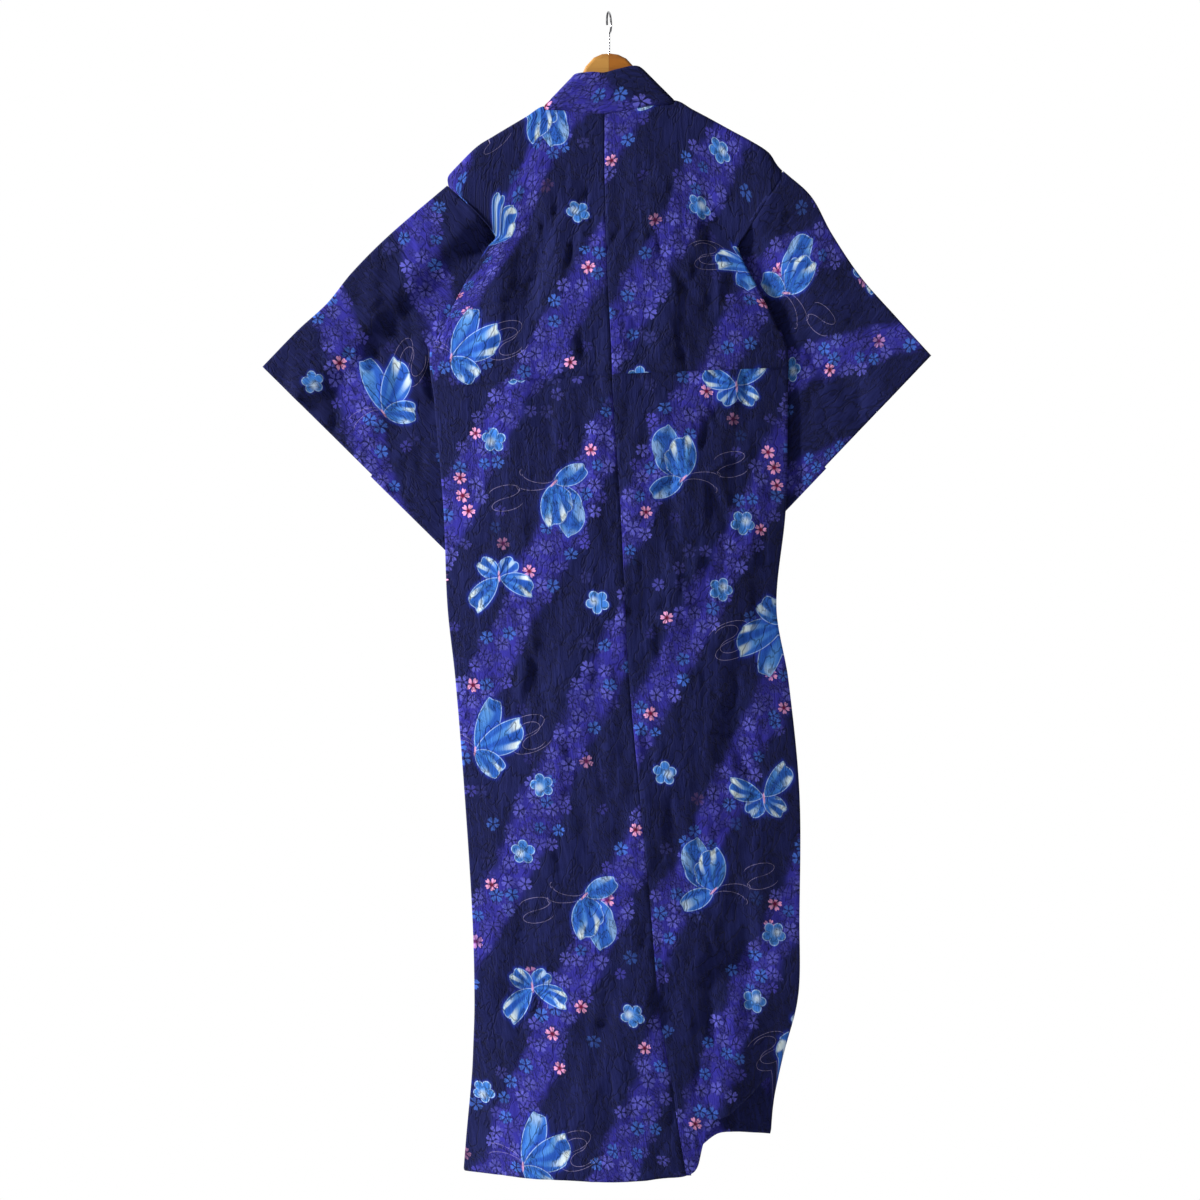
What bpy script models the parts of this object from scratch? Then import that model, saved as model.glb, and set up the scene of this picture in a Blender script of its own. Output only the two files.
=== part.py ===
"""A cotton yukata hanging by its neck on a wooden hanger.

The back of the robe faces -Y, the wearer's right side is +X, and the origin is the
inner top of the hook, where a rail carries it. Lengths in this file are millimetres.
"""
import math

import bmesh
import bpy
from mathutils import Vector

MM = 0.001

# Cloth
WALL = 1.3                   # folded cotton with its seam allowances
COLLAR_WALL = 3.0            # the collar is four layers of cloth
SEAM_GAP = 0.7               # between two pieces that are sewn together
FOLD_GAP = 0.9               # between the two halves of a length of cloth, at its fold
SIDE_RADIUS = 3.0            # half the depth of a pressed side fold
LAYER_STEP = 6.0             # from the right front up to the left front over it
SLEEVE_LIFT = 3.3            # from the front of the body to the sleeve lying on it
SLEEVE_LAYER = 19.0          # the right sleeve passes over the left one by this much
ARMHOLE_BULGE = 8.0          # how far each layer stands off at an open armhole
SLEEVE_FULLNESS = 9.0        # between the sleeve's layers, beside its flat folds
CUFF_FULLNESS = 12.0         # more of that at the open cuff

# Cut widths as finished
FRONT_SEAM_LEFT = 246.0      # side fold to okumi seam
FRONT_SEAM_RIGHT = 287.0
OKUMI_WIDTH = 140.0
COLLAR_WIDTH = 56.0
COLLAR_END = -990.0          # height of the lower ends of the collar
COLLAR_START = -150.0        # height where the collar's arms leave the shoulders
COLLAR_BEND = 0.85           # below 1, the arms of the collar bow outwards
NECK_EDGE = {-1: -93.0, 1: 92.0}
NECK_DEPTH = 9.5             # how far the arms of the collar stand forward at the neck
OKUMI_TOP = -400.0           # height of the overlap panel's pointed top
OKUMI_LEAST = 8.0            # width at which that point is cut off
OKUMI_STRAIGHT = -590.0      # height below which the overlap panel's seam runs
SLEEVE_LENGTH = 490.0
CUFF_OPENING = 230.0

# The body of the robe, one row for each height
BODY_COLUMNS = ("height", "left", "centre", "right", "back_depth", "front_depth")
BODY_ROWS = (
    (-250, -257, -7, 262, 8, 9),
    (-337, -173, -5, 207, 12, 12),
    (-356, -185, -4, 196, 13, 13),
    (-418, -223, -2, 226, 17, 16),
    (-470, -248, 1, 252, 20, 18),
    (-511, -268, 3, 267, 22, 19),
    (-590, -262, 6, 268, 25, 20),
    (-754, -248, 17, 265, 28, 23),
    (-901, -242, 24, 251, 29, 24),
    (-1011, -230, 30, 269, 28, 24),
    (-1186, -216, 46, 286, 27, 24),
    (-1376, -204, 64, 286, 25, 23),
    (-1500, -201, 74, 284, 27, 24),
    (-1573, -203, 86, 264, 33, 26),
    (-1613, -205, 93, 243, 40, 27),
    (-1700, -213, 106, 245, 52, 30),
    (-1762, -218, 117, 246, 60, 32),
)

# Top outline from the middle of the neck to the end of each shoulder, as x, height and
# half the depth of the cloth: the collar seam first, then the fold over the hanger
TOP_LEFT = (
    (-8, -154, 12), (-35, -153, 11.5), (-70, -149, 10), (-97, -141, 7.6),
    (-122, -156, 7.6), (-149, -172, 7.6), (-174, -187, 7.6), (-199, -203, 7.6),
    (-229, -232, 5.0), (-257, -261, 3.0),
)
TOP_RIGHT = (
    (-6, -154, 12), (24, -149, 11.5), (60, -142, 10), (97, -132, 7.6),
    (125, -146, 7.6), (155, -162, 7.6), (184, -178, 7.6), (212, -193, 7.6),
    (240, -211, 7.0), (266, -239, 3.0),
)
NECK_COLUMN = 3              # where the collar seam meets the shoulder
LAST_COLUMN = 9

# Share of the way from the top of a column down to the hem, one for each row of faces
DOWN = (
    0.0, 0.012, 0.026, 0.050, 0.075, 0.102, 0.130, 0.158, 0.182, 0.212, 0.245, 0.285,
    0.330, 0.375, 0.420, 0.465, 0.510, 0.555, 0.600, 0.645, 0.690, 0.735, 0.778, 0.815,
    0.848, 0.878, 0.906, 0.932, 0.956, 0.979, 1.0,
)
NOTCH_ROW = {-1: 3, 1: 4}    # where the visible part of each armhole seam ends
SIDE_START = 7               # row where the side seam begins, below the open slit

HEM_LEVEL = -1757.0
HEM_START = 0.72             # share of the way down below which the hem's line shows
HEM_COLUMNS = ("x", "back", "front")
HEM_ROWS = (
    (-225, -1757, -1748), (-105, -1760, -1752), (21, -1762, -1750), (85, -1757, -1744),
    (120, -1754, -1736), (136, -1742, -1728), (150, -1706, -1715), (166, -1683, -1704),
    (192, -1661, -1700), (218, -1637, -1701), (246, -1611, -1702),
)

# The largest soft folds, each a trough or a ridge from one point down to another.
# A positive depth goes into the body, and a negative one stands out of it. Columns:
# face, x and height of the first end, the same of the second, width, depth.
FOLDS = (
    ("back", -80, -210, -160, -560, 26, 6),
    ("back", -130, -330, -215, -620, 22, -4),
    ("back", 150, -250, 215, -420, 24, 5),
    ("back", 90, -260, 170, -520, 26, -4),
    ("back", -60, -760, -150, -1180, 34, 5),
    ("back", 110, -700, 190, -1120, 34, -5),
    ("back", 60, -1080, 30, -1440, 30, -5),
    ("back", 190, -1250, 215, -1560, 26, 6),
    ("back", -120, -1250, -90, -1640, 30, 5),
    ("back", 20, -1430, 10, -1720, 32, -6),
    ("back", 150, -1440, 175, -1640, 22, 7),
    ("front", -60, -400, -130, -760, 30, 4),
    ("front", 40, -1060, 90, -1500, 34, 5),
    ("front", -110, -1000, -60, -1560, 36, -5),
    ("front", 150, -1180, 170, -1640, 28, -5),
    ("sleeve", -300, -360, -410, -560, 24, 4),
    ("sleeve", -250, -420, -330, -650, 22, -5),
    ("sleeve", -440, -520, -380, -640, 20, 4),
    ("sleeve", 290, -400, 285, -700, 20, -7),
    ("sleeve", 325, -420, 330, -640, 18, 6),
    ("sleeve", 390, -440, 400, -560, 20, -4),
)

# Sleeves: the outer corner, the way down along the cuff, the rise over the other
# sleeve, and how far the upper edge bows off a straight line by share of its width
SLEEVES = {
    "left": {
        "side": -1, "tip": (-524, -539),
        "cuff": (0.711, -0.703), "layer": 0.0,
        "bow": ((0, 0), (0.3, 8), (0.5, 7), (0.65, 0), (0.8, 2), (1, 0)),
    },
    "right": {
        "side": 1, "tip": (487, -522),
        "cuff": (-0.690, -0.724), "layer": SLEEVE_LAYER,
        "bow": ((0, 0), (0.16, 9), (0.33, -2), (0.55, -9), (0.78, -5), (1, 0)),
    },
}
SLEEVE_COLUMNS = 9
SLEEVE_ROWS = (160, 195, 230, 280, 330, 385, 440, 490)    # below the armhole seam

# The collar round the back of the neck: its upper edge, one row for each column of
# the back it is sewn to, then the turn over each shoulder, as x, y and height
COLLAR_TOP_LEFT = ((8, -11.5, -88), (-8, -11.5, -92), (-26, -11, -91), (-46, -9.8, -93))
COLLAR_TOP_RIGHT = ((8, -11.5, -88), (20, -11.5, -85), (33, -11, -82), (45, -9.8, -83))
COLLAR_TURN_LEFT = ((-54, 0, -97), (-49, 9.5, -108))
COLLAR_TURN_RIGHT = ((59, 0, -95), (54, 9.5, -105))
COLLAR_STRIPS = 3
COLLAR_STEPS = 14
OKUMI_STRIPS = 3

# Ways out of the cloth at its folds, for the right side; the left is mirrored
SHOULDER_OUT = (0.3, 0.0, 0.954)
SLANT_OUT = 0.7
SLANT_RISE = 0.714

# Hanger
HANGER_HALF = 6.0
HANGER_EDGE = 4.5
HANGER_STEPS = 34
HANGER_LOWER_STEP = 4        # the underside is plainer and takes every fourth point
HANGER_ROWS = (              # x, top, bottom
    (-197, -208, -222), (-149, -178, -202), (-98, -148, -180), (-72, -131, -168),
    (-48, -108, -156), (-37, -83, -149), (-21, -66, -143), (0, -61, -140),
    (22, -66, -141), (38, -81, -144), (48, -101, -149), (72, -124, -160),
    (98, -139, -172), (150, -166, -192), (190, -188, -206), (225, -209, -222),
)

# Hook
WIRE = 3.2
HOOK_INNER = 14.0
HOOK_TURN = math.radians(78.0)
HOOK_END = math.radians(205.0)
STEM_END = -96.0
STEM_HEIGHTS = (STEM_END, -75.0, -55.0, -38.0)
HOOK_STEPS = 26
BORE_PLAY = 0.4              # round the stem and under it
BORE_LENGTH = 60.0

COTTON = (0.018, 0.016, 0.075, 1.0)
WOOD = (0.62, 0.34, 0.12, 1.0)
STEEL = (0.62, 0.62, 0.64, 1.0)


def smoothstep(low, high, value):
    share = min(1.0, max(0.0, (value - low) / (high - low)))
    return share * share * (3.0 - 2.0 * share)


def mix(first, second, share):
    return first + (second - first) * share


def slope(keys, values, i):
    low, high = max(i - 1, 0), min(i + 1, len(keys) - 1)
    return (values[high] - values[low]) / (keys[high] - keys[low])


def along(rows, column, at, key=0):
    """A smooth curve through one column of a table."""
    rows = sorted(rows, key=lambda row: row[key])
    keys = [row[key] for row in rows]
    values = [row[column] for row in rows]
    at = min(keys[-1], max(keys[0], at))
    i = max(j for j in range(len(keys) - 1) if keys[j] <= at)
    step = keys[i + 1] - keys[i]
    t = (at - keys[i]) / step
    start, end = slope(keys, values, i) * step, slope(keys, values, i + 1) * step
    return ((2 * t**3 - 3 * t**2 + 1) * values[i] + (t**3 - 2 * t**2 + t) * start
            + (3 * t**2 - 2 * t**3) * values[i + 1] + (t**3 - t**2) * end)


def body(name, z):
    return along(BODY_ROWS, BODY_COLUMNS.index(name), z)


def hem(face, x):
    return along(HEM_ROWS, HEM_COLUMNS.index(face), x)


def across(x, z):
    """-1 at the left side fold, 0 in the middle and 1 at the right one."""
    left, right = body("left", z), body("right", z)
    return (2.0 * x - left - right) / (right - left)


def fold_relief(face, x, z):
    """Depth of the soft folds at a point, positive into the body."""
    total = 0.0
    for name, x1, z1, x2, z2, width, depth in FOLDS:
        if name != face:
            continue
        run_x, run_z = x2 - x1, z2 - z1
        length = math.hypot(run_x, run_z)
        share = ((x - x1) * run_x + (z - z1) * run_z) / length**2
        if not 0.0 < share < 1.0:
            continue
        off = ((x - x1) * run_z - (z - z1) * run_x) / length
        total += depth * math.sin(math.pi * share) ** 2 * math.exp(-((off / width) ** 2))
    return total


def lens(x, z, face):
    """Half depth of the flattened tube: deep in the middle, thin at the side folds."""
    round_off = max(0.0, 1.0 - across(x, z) ** 2)
    relief = fold_relief(face, x, z) * min(1.0, 2.0 * round_off)
    return SIDE_RADIUS + body(face + "_depth", z) * round_off - relief


def under_step(x, z):
    """How far the right front lies under the left one, fading to its own side."""
    reach = 0.25 + 0.53 * smoothstep(-240, -990, z)
    fade = 1.0 - smoothstep(reach, min(1.0, reach + 0.25), across(x, z))
    return LAYER_STEP * smoothstep(-185, -240, z) * fade


def front_depth(side, x, z):
    depth = lens(x, z, "front")
    return depth if side < 0 else depth - under_step(x, z)


def collar_line(side, z):
    """Where the collar is sewn to a front: the neck above, the okumi's edge below."""
    share = min(1.0, max(0.0, (z - COLLAR_START) / (COLLAR_END - COLLAR_START)))
    return mix(NECK_EDGE[side], okumi_edge(side, COLLAR_END), share ** COLLAR_BEND)


def okumi_seam(side, z):
    z = min(z, OKUMI_STRAIGHT)
    if side < 0:
        return body("left", z) + FRONT_SEAM_LEFT
    return body("right", z) - FRONT_SEAM_RIGHT


def okumi_edge(side, z):
    return okumi_seam(side, z) - side * OKUMI_WIDTH


def front_inner(side, z):
    """The inner edge of a front panel, sewn to the collar and then to the okumi."""
    edges = (collar_line(side, z), okumi_seam(side, z))
    inner = min(edges) if side < 0 else max(edges)
    return inner + side * SEAM_GAP


class Cloth:
    """An open surface of quads, which a wall thickness turns into a closed solid."""

    def __init__(self):
        self.points = []
        self.faces = []

    def add(self, point):
        self.points.append(Vector(point) * MM)
        return len(self.points) - 1

    def grid(self, rows):
        """Adds rows of points with quads between them, and returns their numbers."""
        numbers = [[self.add(point) for point in row] for row in rows]
        self.join(numbers)
        return numbers

    def join(self, numbers):
        for upper, lower in zip(numbers, numbers[1:]):
            for i in range(len(upper) - 1):
                self.faces.append((upper[i], upper[i + 1], lower[i + 1], lower[i]))

    def round_over(self, edge, opposite, outward):
        """Turns an edge half way over towards the edge that it meets at a fold."""
        rings = []
        for number, far, out in zip(edge, opposite, outward):
            start = self.points[number]
            across_fold = far.y - start.y
            reach = abs(across_fold) / 2.0
            ring = [number]
            for angle in (math.pi / 4, math.pi / 2):
                share = (1.0 - math.cos(angle)) / 2.0
                if angle == math.pi / 2:
                    share -= FOLD_GAP * MM / 4.0 / reach
                point = start + Vector((0.0, across_fold * share, 0.0))
                point += Vector(out) * reach * math.sin(angle)
                self.points.append(point)
                ring.append(len(self.points) - 1)
            rings.append(ring)
        self.join(rings)

    def places(self, numbers):
        return [self.points[number].copy() for number in numbers]

    def build(self, name, wall, material):
        mesh = bpy.data.meshes.new(name)
        mesh.from_pydata([tuple(point) for point in self.points], [], self.faces)
        shape = bmesh.new()
        shape.from_mesh(mesh)
        bmesh.ops.recalc_face_normals(shape, faces=shape.faces)
        shape.to_mesh(mesh)
        shape.free()
        mesh.materials.append(material)
        piece = bpy.data.objects.new(name, mesh)
        bpy.context.collection.objects.link(piece)
        solid = piece.modifiers.new("wall", "SOLIDIFY")
        solid.thickness = wall * MM
        solid.offset = 0.0
        mesh.shade_smooth()
        mesh.set_sharp_from_angle(angle=math.radians(50))
        return piece


def plain_material(name, colour, roughness, metallic=0.0):
    material = bpy.data.materials.new(name)
    material.use_nodes = True
    shader = material.node_tree.nodes["Principled BSDF"]
    shader.inputs["Base Color"].default_value = colour
    shader.inputs["Roughness"].default_value = roughness
    shader.inputs["Metallic"].default_value = metallic
    material.diffuse_color = colour
    return material


def armhole_bulge(side, down):
    """The armhole stands open between the shoulder end and the notch below it."""
    return ARMHOLE_BULGE * math.sin(math.pi * min(1.0, down / DOWN[NOTCH_ROW[side]]))


def body_point(side, face, column, down):
    """A point of a back or front panel, by column from the middle and way down."""
    top_x, top_z, top_depth = (TOP_LEFT if side < 0 else TOP_RIGHT)[column]
    sign = -1.0 if face == "back" else 1.0
    if column >= NECK_COLUMN:
        top_z -= top_depth
    x = top_x
    for _ in range(2):
        z = mix(top_z, HEM_LEVEL, down)
        z += (hem(face, x) - HEM_LEVEL) * smoothstep(HEM_START, 1.0, down)
        side_x = body("left" if side < 0 else "right", z)
        if face == "back":
            start, share = body("centre", z) + side * SEAM_GAP / 2, column / LAST_COLUMN
        else:
            start = front_inner(side, z)
            share = (column - NECK_COLUMN) / (LAST_COLUMN - NECK_COLUMN)
        row_x = mix(start, side_x, share)
        settle = 1.0 if column == LAST_COLUMN else smoothstep(0.0, 0.05, down)
        x = mix(top_x, row_x, settle)
    depth = lens(x, z, face) if face == "back" else front_depth(side, x, z)
    depth = mix(top_depth, depth, smoothstep(0, 150, top_z - z))
    depth += armhole_bulge(side, down) * (column / LAST_COLUMN) ** 10
    return x, sign * depth, z


def fold_together(first, second, first_edge, second_edge, outward):
    """Rounds two cloths towards each other along one folded or sewn edge."""
    first_places, second_places = first.places(first_edge), second.places(second_edge)
    first.round_over(first_edge, second_places, outward)
    second.round_over(second_edge, first_places, outward)


def make_body(side, material):
    """One length of cloth over the shoulder, as a back half and a front half."""
    back, front = Cloth(), Cloth()
    back_rows = back.grid([[body_point(side, "back", column, down)
                            for column in range(LAST_COLUMN + 1)] for down in DOWN])
    front_rows = front.grid([[body_point(side, "front", column, down)
                              for column in range(NECK_COLUMN, LAST_COLUMN + 1)]
                             for down in DOWN])
    shoulder = back_rows[0][NECK_COLUMN:]
    up = (side * SHOULDER_OUT[0], SHOULDER_OUT[1], SHOULDER_OUT[2])
    fold_together(back, front, shoulder, front_rows[0], [up] * len(shoulder))
    back_seam = [row[-1] for row in back_rows[SIDE_START:]]
    front_seam = [row[-1] for row in front_rows[SIDE_START:]]
    out = (side, 0.0, 0.0)
    fold_together(back, front, back_seam, front_seam, [out] * len(back_seam))
    name = "body_left" if side < 0 else "body_right"
    back.build(name + "_back", WALL, material)
    front.build(name + "_front", WALL, material)


def make_okumi(side, material):
    """The overlap panel, pointed at the top and straight down its front edge."""
    rows = []
    for down in DOWN:
        x, depth, z = body_point(side, "front", NECK_COLUMN, down)
        start = x - side * SEAM_GAP
        end = okumi_edge(side, z)
        if z > COLLAR_END:
            end = collar_line(side, z) + side * SEAM_GAP
        if -side * (end - start) < OKUMI_LEAST or z > OKUMI_TOP:
            continue
        row = [(start, depth, z)]
        for i in range(1, OKUMI_STRIPS + 1):
            x = mix(start, end, i / OKUMI_STRIPS)
            low = z + (hem("front", x) - hem("front", start)) * smoothstep(HEM_START, 1.0, down)
            row.append((x, front_depth(side, x, low), low))
        rows.append(row)
    cloth = Cloth()
    cloth.grid(rows)
    return cloth.build("okumi_left" if side < 0 else "okumi_right", WALL, material)


def collar_arm(side):
    """Rows of the collar from its lower end up to the shoulder."""
    rows = []
    for i in range(COLLAR_STEPS):
        z = mix(COLLAR_END, COLLAR_START - 20.0, (i / (COLLAR_STEPS - 1)) ** 0.9)
        ahead = collar_line(side, z + 10.0)
        behind = collar_line(side, z - 10.0)
        run = Vector((ahead - behind, 20.0)).normalized()
        out = (run[1] * -side, -run[0] * -side)
        start = collar_line(side, z)
        row = []
        for strip in range(COLLAR_STRIPS + 1):
            off = COLLAR_WIDTH * strip / COLLAR_STRIPS
            x, height = start + out[0] * off, z + out[1] * off
            depth = mix(NECK_DEPTH, front_depth(side, x, height), smoothstep(-150, -300, height))
            row.append((x, depth, height))
        rows.append(row)
    return rows


def collar_neck(side):
    """Rows over the shoulder and round to the middle of the back of the neck."""
    top_line = TOP_LEFT if side < 0 else TOP_RIGHT
    upper = COLLAR_TOP_LEFT if side < 0 else COLLAR_TOP_RIGHT
    turn = COLLAR_TURN_LEFT if side < 0 else COLLAR_TURN_RIGHT
    shoulder_x, shoulder_z, radius = top_line[NECK_COLUMN]
    lower = [(shoulder_x - side * 3.0, radius + 1.0, shoulder_z - 9.0),
             (shoulder_x - side * 1.5, 0.0, shoulder_z + 1.5)]
    ends = [turn[1], turn[0]]
    for column in range(NECK_COLUMN, 0, -1):
        x, z, depth = top_line[column]
        rise = SEAM_GAP if column < NECK_COLUMN else -radius + 2.5
        inward = 0.0 if column < NECK_COLUMN else side * 2.0
        lower.append((x - inward, -depth, z + rise))
        ends.append(upper[column])
    rows = []
    for start, end in zip(lower, ends):
        rows.append([tuple(mix(a, b, strip / COLLAR_STRIPS) for a, b in zip(start, end))
                     for strip in range(COLLAR_STRIPS + 1)])
    return rows


def make_collar(material):
    """One folded band: up the left front, round the neck and down the right front."""
    middle_low = (-7.0, -TOP_LEFT[0][2], TOP_LEFT[0][1] + SEAM_GAP)
    middle = [tuple(mix(a, b, strip / COLLAR_STRIPS)
                    for a, b in zip(middle_low, COLLAR_TOP_LEFT[0]))
              for strip in range(COLLAR_STRIPS + 1)]
    left = collar_arm(-1) + collar_neck(-1)
    right = collar_arm(1) + collar_neck(1)
    cloth = Cloth()
    cloth.grid(left + [middle] + right[::-1])
    return cloth.build("collar", COLLAR_WALL, material)


def armhole_seam(side):
    """Points of the body's edge that the sleeve is sewn to, with the length so far."""
    points = []
    length = 0.0
    for down in DOWN[:NOTCH_ROW[side] + 1]:
        x, _, z = body_point(side, "back", LAST_COLUMN, down)
        if points:
            length += math.hypot(x - points[-1][0], z - points[-1][1])
        points.append((x, z, length))
    return points


def sleeve_edge(side, height_along):
    """The edge next to the body: the seam first, then the open lower part."""
    seam = armhole_seam(side)
    for x, z, length in seam:
        if abs(length - height_along) < 0.01:
            return x + side * SEAM_GAP, z
    (top_x, top_z, _), (end_x, end_z, length) = seam[0], seam[-1]
    over = (height_along - length) / length
    return (end_x + (end_x - top_x) * over + side * SEAM_GAP,
            end_z + (end_z - top_z) * over)


def sleeve_point(part, layer, share, height_along):
    side = part["side"]
    seam = armhole_seam(side)[-1]
    start_x, start_z = sleeve_edge(side, height_along)
    tip_x, tip_z = part["tip"]
    end_x = tip_x + part["cuff"][0] * height_along
    end_z = tip_z + part["cuff"][1] * height_along
    keep = (1.0 - height_along / SLEEVE_LENGTH) ** 2
    bow = along(part["bow"], 1, share) * keep
    x = mix(start_x, end_x, share) + side * SLANT_OUT * bow
    z = mix(start_z, end_z, share) + SLANT_OUT * bow

    low = min(1.0, height_along / seam[2])
    settle = smoothstep(0.6, 1.0, low)
    mouth = ARMHOLE_BULGE * math.sin(math.pi * low) * (1.0 - share) ** 2
    over_body = abs(across(x, z)) < 1.0 and z < seam[1] + 20.0
    under = lens(x, z, "front") if over_body else SIDE_RADIUS
    rest = under + SLEEVE_LIFT + 0.5 * fold_relief("sleeve", x, z)
    if part["layer"]:
        rest += part["layer"] * (1.0 - smoothstep(100.0, 200.0, x)) * settle
    near = mix(-SIDE_RADIUS - mouth, rest, settle)
    if layer == "near":
        return x, near, z

    middle = SLEEVE_FULLNESS * math.sin(math.pi * height_along / SLEEVE_LENGTH)
    middle *= smoothstep(0.0, 0.3, share) * (1.0 - smoothstep(0.75, 1.0, share))
    cuff = 0.0
    if height_along < CUFF_OPENING:
        low = height_along / CUFF_OPENING
        cuff = CUFF_FULLNESS * math.sin(math.pi * low) * share ** 4
    return x, near + 2.0 * SIDE_RADIUS + 2.0 * mouth + middle + cuff, z


def make_sleeve(name, material):
    """A flat bag, folded at the top and open towards the hand and the body."""
    part = SLEEVES[name]
    side = part["side"]
    heights = [length for _, _, length in armhole_seam(side)] + list(SLEEVE_ROWS)
    layers = {"near": Cloth(), "far": Cloth()}
    rows = {}
    for layer, cloth in layers.items():
        rows[layer] = cloth.grid(
            [[sleeve_point(part, layer, i / SLEEVE_COLUMNS, height)
              for i in range(SLEEVE_COLUMNS + 1)] for height in heights])
    up = (side * SLANT_OUT, 0.0, SLANT_RISE)
    top = [up] * (SLEEVE_COLUMNS + 1)
    fold_together(layers["near"], layers["far"], rows["near"][0], rows["far"][0], top)
    open_row = heights.index(CUFF_OPENING)
    down = (-side * SLANT_OUT, 0.0, -SLANT_RISE)
    corner = (0.0, 0.0, -1.0)
    hand = (side * SLANT_OUT, 0.0, -SLANT_RISE)
    edges = {layer: [row[-1] for row in grid[open_row:-1]] + grid[-1][::-1]
             for layer, grid in rows.items()}
    hand_rows = len(heights) - 1 - open_row
    outward = [hand] * hand_rows + [corner] + [down] * SLEEVE_COLUMNS
    fold_together(layers["near"], layers["far"], edges["near"], edges["far"], outward)
    layers["near"].build("sleeve_" + name + "_back", WALL, material)
    layers["far"].build("sleeve_" + name + "_front", WALL, material)


def make_hanger(material):
    """A flat board with sloping arms and a raised middle, its edges rounded over."""
    xs = [row[0] for row in HANGER_ROWS]
    outline = []
    for i in range(HANGER_STEPS + 1):
        x = mix(xs[0], xs[-1], i / HANGER_STEPS)
        outline.append((x, along(HANGER_ROWS, 1, x)))
    for i in range(HANGER_STEPS, -1, -HANGER_LOWER_STEP):
        x = mix(xs[0], xs[-1], i / HANGER_STEPS)
        outline.append((x, along(HANGER_ROWS, 2, x)))
    mesh = bpy.data.meshes.new("hanger")
    shape = bmesh.new()
    face = shape.faces.new([shape.verts.new((x * MM, -HANGER_HALF * MM, z * MM))
                            for x, z in outline])
    made = bmesh.ops.extrude_face_region(shape, geom=[face])
    moved = [item for item in made["geom"] if isinstance(item, bmesh.types.BMVert)]
    bmesh.ops.translate(shape, vec=(0.0, 2.0 * HANGER_HALF * MM, 0.0), verts=moved)
    bmesh.ops.recalc_face_normals(shape, faces=shape.faces)
    shape.to_mesh(mesh)
    shape.free()
    mesh.materials.append(material)
    piece = bpy.data.objects.new("hanger", mesh)
    bpy.context.collection.objects.link(piece)
    bevel = piece.modifiers.new("round edges", "BEVEL")
    bevel.width = HANGER_EDGE * MM
    bevel.segments = 3
    bevel.limit_method = "ANGLE"
    bevel.angle_limit = math.radians(60)
    bore = bpy.data.objects.new("hook_bore", bore_mesh())
    bpy.context.collection.objects.link(bore)
    bore.hide_render = True
    bore.display_type = "WIRE"
    cut = piece.modifiers.new("hook hole", "BOOLEAN")
    cut.operation = "DIFFERENCE"
    cut.object = bore
    mesh.shade_smooth()
    mesh.set_sharp_from_angle(angle=math.radians(40))
    return piece


def bore_mesh():
    mesh = bpy.data.meshes.new("hook_bore")
    shape = bmesh.new()
    radius = (WIRE / 2 + BORE_PLAY) * MM
    length = BORE_LENGTH * MM
    made = bmesh.ops.create_cone(shape, cap_ends=True, segments=16, radius1=radius,
                                 radius2=radius, depth=length)
    centre = (STEM_END - BORE_PLAY) * MM + length / 2
    bmesh.ops.translate(shape, vec=(0.0, 0.0, centre), verts=made["verts"])
    shape.to_mesh(mesh)
    shape.free()
    return mesh


def make_hook(material):
    """A bent wire: the stem stands in the hanger and the loop turns over the rail."""
    radius = HOOK_INNER + WIRE / 2
    centre = -HOOK_INNER
    path = [(0.0, height) for height in STEM_HEIGHTS]
    for i in range(HOOK_STEPS + 1):
        angle = mix(-math.pi / 2, HOOK_END, i / HOOK_STEPS)
        path.append((radius * math.cos(angle), centre + radius * math.sin(angle)))
    curve = bpy.data.curves.new("hanger_hook", "CURVE")
    curve.dimensions = "3D"
    curve.bevel_depth = WIRE / 2 * MM
    curve.bevel_resolution = 3
    curve.use_fill_caps = True
    line = curve.splines.new("POLY")
    line.points.add(len(path) - 1)
    for point, (off, z) in zip(line.points, path):
        x, y = off * math.cos(HOOK_TURN), off * math.sin(HOOK_TURN)
        point.co = (x * MM, y * MM, z * MM, 1.0)
    curve.materials.append(material)
    piece = bpy.data.objects.new("hanger_hook", curve)
    bpy.context.collection.objects.link(piece)
    return piece


def main():
    for old in list(bpy.data.objects):
        bpy.data.objects.remove(old, do_unlink=True)
    cotton = plain_material("printed cotton", COTTON, 0.85)
    wood = plain_material("varnished wood", WOOD, 0.4)
    steel = plain_material("plated wire", STEEL, 0.25, 1.0)
    for side in (-1, 1):
        make_body(side, cotton)
        make_okumi(side, cotton)
    for name in SLEEVES:
        make_sleeve(name, cotton)
    make_collar(cotton)
    make_hanger(wood)
    make_hook(steel)


main()
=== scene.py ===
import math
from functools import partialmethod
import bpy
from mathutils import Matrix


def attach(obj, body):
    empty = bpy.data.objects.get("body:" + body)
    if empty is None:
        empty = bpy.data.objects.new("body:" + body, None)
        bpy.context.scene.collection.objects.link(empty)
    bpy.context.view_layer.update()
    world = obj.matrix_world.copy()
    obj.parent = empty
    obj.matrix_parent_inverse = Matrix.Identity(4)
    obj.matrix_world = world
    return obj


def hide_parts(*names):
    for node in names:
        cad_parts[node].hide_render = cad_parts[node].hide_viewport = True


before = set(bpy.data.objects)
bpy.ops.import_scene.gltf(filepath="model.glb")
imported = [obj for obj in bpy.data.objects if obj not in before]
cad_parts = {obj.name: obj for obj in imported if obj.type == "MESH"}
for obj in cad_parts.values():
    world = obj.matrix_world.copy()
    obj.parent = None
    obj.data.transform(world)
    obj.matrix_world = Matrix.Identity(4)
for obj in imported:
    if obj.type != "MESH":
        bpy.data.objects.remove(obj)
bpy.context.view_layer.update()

# A printed cotton yukata hanging on its wooden hanger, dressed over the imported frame.
# The back of the robe faces -Y and the origin is the inner top of the hook. The cloth
# is worked out in millimetres and turned into metres when a mesh is made.
from types import SimpleNamespace

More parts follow.
